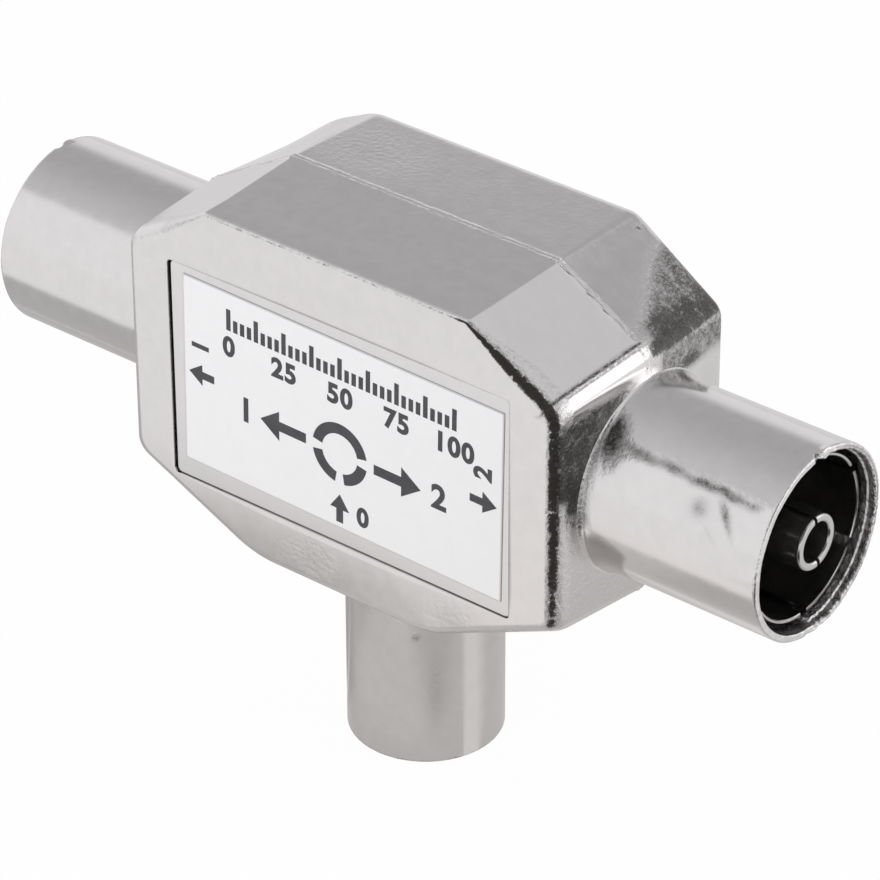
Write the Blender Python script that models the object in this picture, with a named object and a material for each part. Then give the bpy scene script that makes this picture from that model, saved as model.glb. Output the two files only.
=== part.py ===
"""Two-way coaxial splitter: a die-cast tee with a plug below and a socket at each side.

Metres, +Z up. The origin is the centre of the plug shell's end. The sockets point
along +X and -X at PORT_HEIGHT, and the cover faces -Y. The die's parting plane is y = 0.
"""

import math

import bmesh
import bpy
import numpy as np
from mathutils import Vector

# Clearance left where one piece is seated in or on another
SEAT_GAP = 0.0003

# Casting block, across the parting plane, about the port axis
BODY_WIDTH = 0.0319
BODY_TOP = 0.0113
BODY_BOTTOM = 0.0113
FRONT_DEPTH = 0.0080
BACK_DEPTH = 0.0077
TOP_CHAMFER_WIDTH = 0.0063
TOP_CHAMFER_HEIGHT = 0.00365
BACK_CHAMFER_WIDTH = 0.0062
BACK_CHAMFER_HEIGHT = 0.0042
BOTTOM_CHAMFER_WIDTH = 0.0092
BOTTOM_CHAMFER_HEIGHT = 0.0042
FRONT_SIDE_DRAFT = 0.00018
FRONT_TOP_DRAFT = 0.00026
BACK_SIDE_DRAFT = 0.00021
BACK_TOP_DRAFT = 0.00008
FRONT_EDGE_RADIUS = 0.00055
BACK_EDGE_RADIUS = 0.0008
CORNER_RADIUS = 0.0008
PARTING_RIDGE_HEIGHT = 0.00006
PARTING_RIDGE_WIDTH = 0.00026

# Plug: the standard 9.5 mm shell, from the block's underside down, with its pin
SHELL_LENGTH = 0.0126
PLUG_DIAMETER = 0.0095
PLUG_BORE_DIAMETER = 0.0087
PLUG_DEPTH = 0.0086
PLUG_FILLET = 0.0007
PLUG_INSULATOR_FLANGE = 0.0015
PLUG_BOSS_DIAMETER = 0.0052
PIN_DIAMETER = 0.0024
PIN_RECESS = 0.0005
PIN_SHANK_DIAMETER = 0.0014

# Sockets: barrel from the block's side out, spring sleeve and centre contact
BARREL_LENGTH = 0.01175
BARREL_DIAMETER = 0.0117
BARREL_FILLET = 0.0009
RIM_EDGE_RADIUS = 0.00012
MOUTH_DIAMETER = 0.0108
MOUTH_DEPTH = 0.0022
SOCKET_DEPTH = 0.0090
SOCKET_INSULATOR_FLANGE = 0.0019
SOCKET_BOSS_DIAMETER = 0.0066
SLEEVE_RECESS = 0.0008
SLEEVE_PLAY = 0.00005
SLEEVE_WALL = 0.0002
SLEEVE_PINCH = 0.0001
SLEEVE_SLOT_COUNT = 6
SLEEVE_SLOT_WIDTH = 0.0006
SLEEVE_SLOT_LENGTH = 0.0055
SLEEVE_WAIST = 0.0017
CONTACT_DIAMETER = 0.0034
CONTACT_RECESS = 0.0001
CONTACT_BORE_DEPTH = 0.0080
CONTACT_SEAT = 0.0010
CONTACT_SHANK_DIAMETER = 0.0018
CONTACT_SLOT_WIDTH = 0.0004
CONTACT_SLOT_LENGTH = 0.0050
CONTACT_SLOT_ANGLE = math.radians(8)
TAIL_DIAMETER = 0.0010
TAIL_REACH = 0.0030

# Cover plate, pressed into the front of the casting, and the label on it
COVER_WIDTH = 0.0245
COVER_HEIGHT = 0.0140
COVER_THICKNESS = 0.0006
COVER_RECESS = 0.00010
COVER_CORNER_RADIUS = 0.0003
COVER_CENTRE_X = 0.00003
COVER_CENTRE_Z = -0.0001
COVER_PLAY = 0.00019
COVER_SHIFT_X = 0.00010
COVER_SHIFT_Z = 0.00006
COVER_LEDGE = 0.0011
LABEL_WIDTH = 0.0234
LABEL_HEIGHT = 0.0125
LABEL_THICKNESS = 0.00006
LABEL_CORNER_RADIUS = 0.0002
LABEL_SHIFT_X = 0.00018
LABEL_SHIFT_Z = 0.00012
LABEL_TURN = math.radians(1)

# Inside the casting
BACK_WALL = 0.0015
CAVITY_CORNER_RADIUS = 0.0008
BOARD_THICKNESS = 0.0010
BOARD_LEDGE = 0.0010
CORE_OUTER_DIAMETER = 0.0048
CORE_INNER_DIAMETER = 0.0024
CORE_LENGTH = 0.0022
CORE_SPACING = 0.0072
CORE_RAISE = 0.0009
CORE_Z = 0.0009
WIRE_DIAMETER = 0.00035
WIRE_GAP = 0.00020
WINDING_TURNS = 6
WINDING_SWEEP = math.radians(300)
WINDING_SQUARENESS = 0.55
WINDING_POINTS_PER_TURN = 12
CHIP_LENGTH = 0.0020
CHIP_WIDTH = 0.00125
CHIP_HEIGHT = 0.0008
CHIP_CAP_SHARE = 0.5
CHIP_WAIST = 0.00008
OUTPUT_CHIP_Z = 0.0026
LOW_ROW_MARGIN = 0.0020
BALANCE_CHIP_X = 0.0050
RESISTOR_X = -0.0056
RESISTOR_SPAN = 0.0056
RESISTOR_LENGTH = 0.0034
RESISTOR_DIAMETER = 0.0015
RESISTOR_LEAD_DIAMETER = 0.0005
RESISTOR_LIFT = 0.0011
TAG_WIDTH = 0.0018
TAG_THICKNESS = 0.00025
TAG_FOOT = 0.0012
TAG_LEG = 0.0026

# Where the ports are: the height of the port axis, and how far the rims are from the plug's axis
PORT_HEIGHT = BODY_BOTTOM + SHELL_LENGTH
PORT_REACH = BODY_WIDTH / 2 + BARREL_LENGTH

# Places worked out from the sizes above, as distances along a port from the port axis
SLEEVE_INNER_RADIUS = PLUG_DIAMETER / 2 + SLEEVE_PLAY
BARREL_BORE_RADIUS = SLEEVE_INNER_RADIUS + SLEEVE_WALL + SEAT_GAP
INSULATOR_FACE = PORT_REACH - SOCKET_DEPTH
SLEEVE_ROOT = INSULATOR_FACE - SOCKET_INSULATOR_FLANGE
BORE_FLOOR = SLEEVE_ROOT - SEAT_GAP
PLUG_FACE = PORT_HEIGHT - PLUG_DEPTH
PLUG_FLANGE_END = PLUG_FACE - PLUG_INSULATOR_FLANGE
PLUG_BORE_FLOOR = PLUG_FLANGE_END - SEAT_GAP

# The cavity follows the cover's opening, and the board follows the cavity
CAVITY_WIDTH = COVER_WIDTH - 2 * COVER_LEDGE
CAVITY_HEIGHT = COVER_HEIGHT - 2 * COVER_LEDGE
CAVITY_SIDE = CAVITY_WIDTH / 2 + abs(COVER_CENTRE_X)
CAVITY_FLOOR = CAVITY_HEIGHT / 2 - COVER_CENTRE_Z
COVER_BACK = -FRONT_DEPTH + COVER_RECESS + COVER_THICKNESS
BOARD_FRONT = TAIL_DIAMETER / 2 + SEAT_GAP
BOARD_BACK = BOARD_FRONT + BOARD_THICKNESS

ROUND_STEPS = 48
SMALL_ROUND_STEPS = 28
FILLET_STEPS = 4
WELD_DISTANCE = 0.0000005
SMOOTH_ANGLE = math.radians(30)


def clear_scene():
    """Remove whatever the new file holds."""
    for item in list(bpy.data.objects):
        bpy.data.objects.remove(item, do_unlink=True)


def make_material(name, colour, metallic, roughness):
    """A plain Principled material with one colour."""
    made = bpy.data.materials.new(name)
    made.use_nodes = True
    shader = made.node_tree.nodes["Principled BSDF"]
    shader.inputs["Base Color"].default_value = (*colour, 1.0)
    shader.inputs["Metallic"].default_value = metallic
    shader.inputs["Roughness"].default_value = roughness
    made.diffuse_color = (*colour, 1.0)
    return made


def add_object(name, data, parent, material=None):
    """Link an object that uses this data, under its port or the assembly."""
    item = bpy.data.objects.new(name, data)
    bpy.context.scene.collection.objects.link(item)
    item.parent = parent
    if material is not None:
        data.materials.append(material)
    return item


def add_cutter(name, mesh, parent):
    """A tool for a Boolean, which is not a piece of the splitter."""
    item = add_object(name, mesh, parent)
    item.hide_render = True
    item.display_type = "WIRE"
    return item


def boolean(item, operation, tool):
    """Unite a piece with a tool, or cut it with one, and weld the seam's twin points."""
    step = item.modifiers.new(f"{operation.lower()} {tool.name}", "BOOLEAN")
    step.operation = operation
    step.object = tool
    step.solver = "EXACT"
    weld = item.modifiers.new(f"weld {tool.name}", "WELD")
    weld.merge_threshold = WELD_DISTANCE


def add_empty(name, location, rotation=(0.0, 0.0, 0.0), parent=None):
    """An empty that carries the pieces of one port or of the board."""
    item = bpy.data.objects.new(name, None)
    bpy.context.scene.collection.objects.link(item)
    item.parent = parent
    item.location = location
    item.rotation_euler = rotation
    return item


def finish_mesh(name, bm):
    """Turn a bmesh into a mesh whose faces point outwards, shaded smooth."""
    bmesh.ops.remove_doubles(bm, verts=bm.verts, dist=WELD_DISTANCE)
    bmesh.ops.recalc_face_normals(bm, faces=bm.faces)
    mesh = bpy.data.meshes.new(name)
    bm.to_mesh(mesh)
    bm.free()
    mesh.shade_smooth()
    mesh.set_sharp_from_angle(angle=SMOOTH_ANGLE)
    return mesh


def turned_mesh(name, profile, steps, hollow=False):
    """Spin a profile of (distance along X, radius) points about the X axis.

    A hollow profile is a closed loop. Any other starts and ends on the axis.
    """
    bm = bmesh.new()
    verts = [bm.verts.new((along, 0.0, radius)) for along, radius in profile]
    pairs = list(zip(verts, verts[1:]))
    if hollow:
        pairs.append((verts[-1], verts[0]))
    edges = [bm.edges.new(pair) for pair in pairs]
    bmesh.ops.spin(
        bm, geom=verts + edges, cent=(0, 0, 0), axis=(1, 0, 0),
        angle=math.tau, steps=steps, use_merge=True,
    )
    return finish_mesh(name, bm)


def lofted_mesh(name, rings):
    """Skin a stack of rings that have as many points each, and close both ends."""
    bm = bmesh.new()
    loops = [[bm.verts.new(point) for point in ring] for ring in rings]
    for lower, upper in zip(loops, loops[1:]):
        count = len(lower)
        for i in range(count):
            j = (i + 1) % count
            bm.faces.new((lower[i], lower[j], upper[j], upper[i]))
    bm.faces.new(loops[0])
    bm.faces.new(loops[-1])
    return finish_mesh(name, bm)


def offset_corners(corners, distance):
    """Move each side of a convex outline inwards, and meet the sides again."""
    points = np.array(corners)
    sides = np.roll(points, -1, axis=0) - points
    sides /= np.linalg.norm(sides, axis=1)[:, None]
    inward = np.stack([-sides[:, 1], sides[:, 0]], axis=1)
    moved = points + inward * distance
    met = []
    for i in range(len(points)):
        before = i - 1
        matrix = np.stack([sides[before], -sides[i]], axis=1)
        travel = np.linalg.solve(matrix, moved[i] - moved[before])[0]
        met.append(moved[before] + sides[before] * travel)
    return np.array(met)


def rounded_outline(corners, radius, steps=FILLET_STEPS):
    """Replace each corner of an anticlockwise outline by an arc of this radius."""
    points = np.array(corners)
    outline = []
    for i, corner in enumerate(points):
        back = points[i - 1] - corner
        ahead = points[(i + 1) % len(points)] - corner
        back /= np.linalg.norm(back)
        ahead /= np.linalg.norm(ahead)
        half_angle = math.acos(np.clip(back @ ahead, -1, 1)) / 2
        middle = (back + ahead) / np.linalg.norm(back + ahead)
        centre = corner + middle * radius / math.sin(half_angle)
        start = corner + back * radius / math.tan(half_angle) - centre
        turn = math.pi - 2 * half_angle
        for step in range(steps + 1):
            angle = turn * step / steps
            cosine, sine = math.cos(angle), math.sin(angle)
            spun = (start[0] * cosine - start[1] * sine, start[0] * sine + start[1] * cosine)
            outline.append(centre + spun)
    return outline


def rectangle(width, height, centre_x=0.0, centre_z=0.0):
    """Corners of a rectangle, anticlockwise with X to the right and Z up."""
    left, right = centre_x - width / 2, centre_x + width / 2
    low, high = centre_z - height / 2, centre_z + height / 2
    return [(right, low), (right, high), (left, high), (left, low)]


def ring_at(outline, y):
    """Stand an (x, z) outline up at this depth."""
    return [(x, y, z) for x, z in outline]


def plate_mesh(name, width, height, front, back, radius):
    """A flat plate with round corners between two depths."""
    outline = rounded_outline(rectangle(width, height), radius)
    return lofted_mesh(name, [ring_at(outline, front), ring_at(outline, back)])


def body_corners(y):
    """The block's eight corners at this depth, drafted away from the parting plane."""
    if y < 0:
        share = -y / FRONT_DEPTH
        side, top = FRONT_SIDE_DRAFT * share, FRONT_TOP_DRAFT * share
        chamfer_width, chamfer_height = TOP_CHAMFER_WIDTH, TOP_CHAMFER_HEIGHT
    else:
        share = y / BACK_DEPTH
        side, top = BACK_SIDE_DRAFT * share, BACK_TOP_DRAFT * share
        chamfer_width = TOP_CHAMFER_WIDTH + (BACK_CHAMFER_WIDTH - TOP_CHAMFER_WIDTH) * share
        chamfer_height = TOP_CHAMFER_HEIGHT + (BACK_CHAMFER_HEIGHT - TOP_CHAMFER_HEIGHT) * share
    half = BODY_WIDTH / 2 - side
    high = BODY_TOP - top
    low = -BODY_BOTTOM + top
    return [
        (half - BOTTOM_CHAMFER_WIDTH, low),
        (half, low + BOTTOM_CHAMFER_HEIGHT),
        (half, high - chamfer_height),
        (half - chamfer_width, high),
        (-half + chamfer_width, high),
        (-half, high - chamfer_height),
        (-half, low + BOTTOM_CHAMFER_HEIGHT),
        (-half + BOTTOM_CHAMFER_WIDTH, low),
    ]


def body_ring(y, inset):
    """One ring of the block, moved inwards for a fillet or outwards for the ridge."""
    corners = offset_corners(body_corners(y), inset)
    return ring_at(rounded_outline(corners, CORNER_RADIUS), y)


def block_mesh():
    """The drafted block: front fillet, parting ridge and back fillet, as one skin."""
    rings = []
    for step in range(FILLET_STEPS + 1):
        angle = math.pi / 2 * step / FILLET_STEPS
        y = -FRONT_DEPTH + FRONT_EDGE_RADIUS * (1 - math.cos(angle))
        rings.append(body_ring(y, FRONT_EDGE_RADIUS * (1 - math.sin(angle))))
    rings.append(body_ring(-PARTING_RIDGE_WIDTH / 2, 0.0))
    rings.append(body_ring(0.0, -PARTING_RIDGE_HEIGHT))
    rings.append(body_ring(PARTING_RIDGE_WIDTH / 2, 0.0))
    for step in range(FILLET_STEPS, -1, -1):
        angle = math.pi / 2 * step / FILLET_STEPS
        y = BACK_DEPTH - BACK_EDGE_RADIUS * (1 - math.cos(angle))
        rings.append(body_ring(y, BACK_EDGE_RADIUS * (1 - math.sin(angle))))
    return lofted_mesh("block", rings)


def spigot_profile(radius, face, fillet, end):
    """A solid boss that flares where it leaves the block, with a rounded end edge."""
    points = [(face - 2 * fillet, 0.0), (face - 2 * fillet, radius + fillet)]
    for step in range(FILLET_STEPS + 1):
        angle = math.pi / 2 * step / FILLET_STEPS
        points.append((face + fillet * (1 - math.cos(angle)), radius + fillet * (1 - math.sin(angle))))
    for step in range(FILLET_STEPS + 1):
        angle = math.pi / 2 * step / FILLET_STEPS
        points.append((
            end - RIM_EDGE_RADIUS * (1 - math.sin(angle)),
            radius - RIM_EDGE_RADIUS * (1 - math.cos(angle)),
        ))
    points.append((end, 0.0))
    return points


def socket_bore_profile():
    """Mouth, spring sleeve's bore and insulator's seat, cut through to the cavity."""
    seat = SOCKET_BOSS_DIAMETER / 2 + SEAT_GAP
    mouth_end = PORT_REACH - MOUTH_DEPTH
    return [
        (PORT_REACH + SEAT_GAP, 0.0),
        (PORT_REACH + SEAT_GAP, MOUTH_DIAMETER / 2),
        (mouth_end, MOUTH_DIAMETER / 2),
        (mouth_end - MOUTH_DIAMETER / 2 + BARREL_BORE_RADIUS, BARREL_BORE_RADIUS),
        (BORE_FLOOR, BARREL_BORE_RADIUS),
        (BORE_FLOOR, seat),
        (CAVITY_SIDE - 2 * SEAT_GAP, seat),
        (CAVITY_SIDE - 2 * SEAT_GAP, 0.0),
    ]


def plug_bore_profile():
    """Inside of the plug's shell and its insulator's seat, cut through to the cavity."""
    bore = PLUG_BORE_DIAMETER / 2
    seat = PLUG_BOSS_DIAMETER / 2 + SEAT_GAP
    return [
        (PORT_HEIGHT + SEAT_GAP, 0.0),
        (PORT_HEIGHT + SEAT_GAP, bore),
        (PLUG_BORE_FLOOR, bore),
        (PLUG_BORE_FLOOR, seat),
        (CAVITY_FLOOR - 2 * SEAT_GAP, seat),
        (CAVITY_FLOOR - 2 * SEAT_GAP, 0.0),
    ]


def pocket_mesh():
    """The opening for the cover, the cavity behind it and the pocket behind the board."""
    opening = rectangle(
        COVER_WIDTH + 2 * COVER_PLAY, COVER_HEIGHT + 2 * COVER_PLAY, COVER_CENTRE_X, COVER_CENTRE_Z
    )
    cavity = rectangle(CAVITY_WIDTH, CAVITY_HEIGHT, COVER_CENTRE_X, COVER_CENTRE_Z)
    behind = offset_corners(cavity, BOARD_LEDGE)
    steps = [
        (rounded_outline(opening, COVER_CORNER_RADIUS), -FRONT_DEPTH - SEAT_GAP, COVER_BACK),
        (rounded_outline(cavity, CAVITY_CORNER_RADIUS), COVER_BACK, BOARD_BACK),
        (rounded_outline(behind, CAVITY_CORNER_RADIUS), BOARD_BACK, BACK_DEPTH - BACK_WALL),
    ]
    rings = []
    for outline, front, back in steps:
        rings.append(ring_at(outline, front))
        rings.append(ring_at(outline, back))
    return lofted_mesh("pocket", rings)


def make_casting(ports, centre, material):
    """The one-piece zinc casting: block, two barrels and the plug's shell."""
    casting = add_object("body_casting", block_mesh(), centre, material)
    side_face = BODY_WIDTH / 2 - FRONT_SIDE_DRAFT
    bottom_face = BODY_BOTTOM - FRONT_TOP_DRAFT
    barrel = spigot_profile(BARREL_DIAMETER / 2, side_face, BARREL_FILLET, PORT_REACH)
    shell = spigot_profile(PLUG_DIAMETER / 2, bottom_face, PLUG_FILLET, PORT_HEIGHT)
    outside = {"left": barrel, "right": barrel, "input": shell}
    inside = {"left": socket_bore_profile(), "right": socket_bore_profile(), "input": plug_bore_profile()}
    for side, port in ports.items():
        solid = turned_mesh(f"{side}_spigot", outside[side], ROUND_STEPS)
        boolean(casting, "UNION", add_cutter(f"{side}_spigot_tool", solid, port))
    boolean(casting, "DIFFERENCE", add_cutter("pocket_tool", pocket_mesh(), centre))
    for side, port in ports.items():
        bore = turned_mesh(f"{side}_bore", inside[side], ROUND_STEPS)
        boolean(casting, "DIFFERENCE", add_cutter(f"{side}_bore_tool", bore, port))
    return casting


def box_in(bm, low, high, turn=0.0):
    """Add a box between two corners to a bmesh, turned about the X axis."""
    made = bmesh.ops.create_cube(bm, size=1.0)["verts"]
    low, high = Vector(low), Vector(high)
    for vert in made:
        share = vert.co + Vector((0.5, 0.5, 0.5))
        x, y, z = (low[i] + share[i] * (high[i] - low[i]) for i in range(3))
        cosine, sine = math.cos(turn), math.sin(turn)
        vert.co = (x, y * cosine - z * sine, y * sine + z * cosine)


def slot_tool(name, parent, tip, length, width, inner, outer, count, turn):
    """Slots cut back from a tube's tip, evenly spaced round it from the top."""
    bm = bmesh.new()
    for i in range(count):
        box_in(
            bm,
            (tip - length, -width / 2, inner),
            (tip + length / 2, width / 2, outer),
            turn + math.tau * i / count,
        )
    return add_cutter(name, finish_mesh(name, bm), parent)


def make_sleeve(side, port, material):
    """A rolled sheet sleeve whose slotted fingers grip the plug's shell."""
    tip = PORT_REACH - SLEEVE_RECESS
    inner = SLEEVE_INNER_RADIUS
    waist = tip - SLEEVE_WAIST
    slot_root = tip - SLEEVE_SLOT_LENGTH
    line = [
        (SLEEVE_ROOT, inner),
        (slot_root, inner),
        (waist, inner - SLEEVE_PINCH),
        (tip, inner),
    ]
    outside = [(along, radius + SLEEVE_WALL) for along, radius in reversed(line)]
    mesh = turned_mesh(f"{side}_spring_sleeve", line + outside, ROUND_STEPS, hollow=True)
    sleeve = add_object(f"{side}_spring_sleeve", mesh, port, material)
    tool = slot_tool(
        f"{side}_sleeve_slots", port, tip, SLEEVE_SLOT_LENGTH, SLEEVE_SLOT_WIDTH,
        inner - 4 * SLEEVE_WALL, inner + 4 * SLEEVE_WALL, SLEEVE_SLOT_COUNT, 0.0,
    )
    boolean(sleeve, "DIFFERENCE", tool)
    return sleeve


def make_socket_insulator(side, port, material):
    """A moulded ring in the root of the sleeve, with a boss through to the cavity."""
    seat = CONTACT_DIAMETER / 2 + SEAT_GAP
    hole = CONTACT_SHANK_DIAMETER / 2 + SEAT_GAP
    flange = SLEEVE_INNER_RADIUS - SEAT_GAP
    boss = SOCKET_BOSS_DIAMETER / 2
    boss_end = CAVITY_SIDE + SEAT_GAP
    profile = [
        (boss_end, hole),
        (INSULATOR_FACE - CONTACT_SEAT, hole),
        (INSULATOR_FACE - CONTACT_SEAT, seat),
        (INSULATOR_FACE, seat),
        (INSULATOR_FACE, flange),
        (SLEEVE_ROOT, flange),
        (SLEEVE_ROOT, boss),
        (boss_end, boss),
    ]
    mesh = turned_mesh(f"{side}_insulator", profile, SMALL_ROUND_STEPS, hollow=True)
    return add_object(f"{side}_insulator", mesh, port, material)


def make_contact(side, port, material):
    """The socket's centre contact: a split tube on a shank, with a tail to the board."""
    tip = PORT_REACH - CONTACT_RECESS
    outer = CONTACT_DIAMETER / 2
    bore = PIN_DIAMETER / 2
    lip = (outer - bore) / 4
    seat = INSULATOR_FACE - CONTACT_SEAT + SEAT_GAP
    shank = CONTACT_SHANK_DIAMETER / 2
    shank_end = CAVITY_SIDE + SEAT_GAP
    profile = [
        (tip - CONTACT_BORE_DEPTH - bore / 2, 0.0),
        (tip - CONTACT_BORE_DEPTH, bore),
        (tip - lip, bore),
        (tip, bore + lip),
        (tip, outer - lip),
        (tip - lip, outer),
        (seat, outer),
        (seat, shank),
        (shank_end, shank),
        (shank_end, TAIL_DIAMETER / 2),
        (CAVITY_SIDE - TAIL_REACH, TAIL_DIAMETER / 2),
        (CAVITY_SIDE - TAIL_REACH, 0.0),
    ]
    mesh = turned_mesh(f"{side}_centre_contact", profile, SMALL_ROUND_STEPS)
    contact = add_object(f"{side}_centre_contact", mesh, port, material)
    tool = slot_tool(
        f"{side}_contact_slots", port, tip, CONTACT_SLOT_LENGTH, CONTACT_SLOT_WIDTH,
        bore / 2, 2 * outer, 2, CONTACT_SLOT_ANGLE,
    )
    boolean(contact, "DIFFERENCE", tool)
    return contact


def make_plug_insulator(port, material):
    """The moulded ring that holds the pin in the plug's shell."""
    hole = PIN_SHANK_DIAMETER / 2 + SEAT_GAP
    flange = PLUG_BORE_DIAMETER / 2 - SEAT_GAP
    boss = PLUG_BOSS_DIAMETER / 2
    boss_end = CAVITY_FLOOR + SEAT_GAP
    profile = [
        (boss_end, hole),
        (PLUG_FACE, hole),
        (PLUG_FACE, flange),
        (PLUG_FLANGE_END, flange),
        (PLUG_FLANGE_END, boss),
        (boss_end, boss),
    ]
    mesh = turned_mesh("input_insulator", profile, SMALL_ROUND_STEPS, hollow=True)
    return add_object("input_insulator", mesh, port, material)


def make_pin(port, material):
    """The plug's pin: round nose, shoulder on the insulator, and a tail to the board."""
    radius = PIN_DIAMETER / 2
    tip = PORT_HEIGHT - PIN_RECESS
    shank = PIN_SHANK_DIAMETER / 2
    shank_end = CAVITY_FLOOR + SEAT_GAP
    profile = []
    for step in range(FILLET_STEPS + 1):
        angle = math.pi / 2 * step / FILLET_STEPS
        profile.append((tip - radius * (1 - math.cos(angle)), radius * math.sin(angle)))
    profile += [
        (PLUG_FACE + SEAT_GAP, radius),
        (PLUG_FACE + SEAT_GAP, shank),
        (shank_end, shank),
        (shank_end, TAIL_DIAMETER / 2),
        (CAVITY_FLOOR - TAIL_REACH, TAIL_DIAMETER / 2),
        (CAVITY_FLOOR - TAIL_REACH, 0.0),
    ]
    mesh = turned_mesh("input_pin", profile, SMALL_ROUND_STEPS)
    return add_object("input_pin", mesh, port, material)


def make_cover(centre, metal, paper):
    """The sheet cover on its ledge, and the label stuck on it."""
    front = COVER_BACK - COVER_THICKNESS
    cover_mesh = plate_mesh(
        "cover_plate", COVER_WIDTH, COVER_HEIGHT, front, COVER_BACK, COVER_CORNER_RADIUS
    )
    cover = add_object("cover_plate", cover_mesh, centre, metal)
    cover.location = (COVER_CENTRE_X + COVER_SHIFT_X, 0.0, COVER_CENTRE_Z + COVER_SHIFT_Z)
    label_mesh = plate_mesh(
        "label", LABEL_WIDTH, LABEL_HEIGHT, front - LABEL_THICKNESS, front, LABEL_CORNER_RADIUS
    )
    label = add_object("label", label_mesh, centre, paper)
    label.location = cover.location + Vector((LABEL_SHIFT_X, 0.0, LABEL_SHIFT_Z))
    label.rotation_euler = (0.0, LABEL_TURN, 0.0)
    return cover, label


def make_board(centre, material):
    """The circuit board on the casting's inner ledge."""
    mesh = plate_mesh(
        "circuit_board", CAVITY_WIDTH - 2 * SEAT_GAP, CAVITY_HEIGHT - 2 * SEAT_GAP,
        BOARD_FRONT, BOARD_BACK, CAVITY_CORNER_RADIUS,
    )
    board = add_object("circuit_board", mesh, centre, material)
    board.location = (COVER_CENTRE_X, 0.0, COVER_CENTRE_Z)
    return board


def make_core(name, board_face, x, z, material):
    """A ferrite ring that lies on the board, on its winding."""
    inner, outer = CORE_INNER_DIAMETER / 2, CORE_OUTER_DIAMETER / 2
    half = CORE_LENGTH / 2
    edge = (outer - inner) / 8
    profile = [
        (-half + edge, inner),
        (half - edge, inner),
        (half, inner + edge),
        (half, outer - edge),
        (half - edge, outer),
        (-half + edge, outer),
        (-half, outer - edge),
        (-half, inner + edge),
    ]
    mesh = turned_mesh(name, profile, SMALL_ROUND_STEPS, hollow=True)
    core = add_object(name, mesh, board_face, material)
    core.location = (x, -CORE_RAISE - half, z)
    core.rotation_euler = (0.0, 0.0, math.pi / 2)
    return core


def wire_curve(name, points, radii):
    """A round wire through these points, thicker or thinner from point to point."""
    curve = bpy.data.curves.new(name, "CURVE")
    curve.dimensions = "3D"
    curve.bevel_depth = 1.0
    curve.bevel_resolution = 1
    curve.use_fill_caps = True
    spline = curve.splines.new("POLY")
    spline.points.add(len(points) - 1)
    for slot, point, radius in zip(spline.points, points, radii):
        slot.co = (*point, 1.0)
        slot.radius = radius
    return curve


def make_winding(name, board_face, x, z, material):
    """Enamelled wire wound round a core's section as the winding goes round the ring."""
    inner, outer = CORE_INNER_DIAMETER / 2, CORE_OUTER_DIAMETER / 2
    stand_off = WIRE_GAP + WIRE_DIAMETER / 2
    half_radial = (outer - inner) / 2 + stand_off
    half_axial = CORE_LENGTH / 2 + stand_off
    middle = (outer + inner) / 2
    share = np.linspace(0.0, 1.0, WINDING_POINTS_PER_TURN * WINDING_TURNS + 1)
    around_ring = WINDING_SWEEP * (share - 0.5) + math.pi / 2
    around_section = math.tau * WINDING_TURNS * share + math.pi / 2
    across, along = np.cos(around_section), np.sin(around_section)
    radial = middle + half_radial * np.sign(across) * np.abs(across) ** WINDING_SQUARENESS
    axial = half_axial * np.sign(along) * np.abs(along) ** WINDING_SQUARENESS
    points = np.stack([radial * np.cos(around_ring), axial, radial * np.sin(around_ring)], axis=1)
    curve = wire_curve(name, points, [WIRE_DIAMETER / 2] * len(points))
    winding = add_object(name, curve, board_face, material)
    winding.location = (x, -CORE_RAISE - CORE_LENGTH / 2, z)
    return winding


def make_resistor(board_face, x, z, material):
    """A resistor lying above the board on its two bent leads."""
    lead = RESISTOR_LEAD_DIAMETER / 2
    body = RESISTOR_DIAMETER / 2
    bend = 2 * RESISTOR_LEAD_DIAMETER
    lift = RESISTOR_LIFT
    half_path = [((-RESISTOR_SPAN / 2, -SEAT_GAP, 0.0), lead)]
    for step in range(FILLET_STEPS + 1):
        angle = math.pi / 2 * step / FILLET_STEPS
        half_path.append((
            (-RESISTOR_SPAN / 2 + bend * (1 - math.cos(angle)), -lift + bend * (1 - math.sin(angle)), 0.0),
            lead,
        ))
    half_path += [
        ((-RESISTOR_LENGTH / 2, -lift, 0.0), lead),
        ((-0.92 * RESISTOR_LENGTH / 2, -lift, 0.0), 0.85 * body),
        ((-0.80 * RESISTOR_LENGTH / 2, -lift, 0.0), body),
        ((-0.60 * RESISTOR_LENGTH / 2, -lift, 0.0), body),
        ((-0.50 * RESISTOR_LENGTH / 2, -lift, 0.0), 0.88 * body),
    ]
    other_half = [((-point[0], point[1], point[2]), radius) for point, radius in reversed(half_path)]
    path = half_path + other_half
    curve = wire_curve("isolation_resistor", [point for point, _ in path], [radius for _, radius in path])
    resistor = add_object("isolation_resistor", curve, board_face, material)
    resistor.location = (x, 0.0, z)
    return resistor


def make_chip(name, board_face, x, z, upright, material):
    """A chip capacitor, whose body is a little slimmer than its two end caps."""
    end = CHIP_LENGTH / 2
    cap = CHIP_CAP_SHARE * end
    rings = []
    for along, inset in (
        (-end, 0.0),
        (-cap - CHIP_WAIST, 0.0),
        (-cap, CHIP_WAIST),
        (cap, CHIP_WAIST),
        (cap + CHIP_WAIST, 0.0),
        (end, 0.0),
    ):
        wide = CHIP_WIDTH / 2 - inset
        top = -CHIP_HEIGHT + inset
        rings.append([(along, 0.0, -wide), (along, 0.0, wide), (along, top, wide), (along, top, -wide)])
    chip = add_object(name, lofted_mesh(name, rings), board_face, material)
    chip.location = (x, 0.0, z)
    chip.rotation_euler = (0.0, math.pi / 2 if upright else 0.0, 0.0)
    return chip


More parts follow.
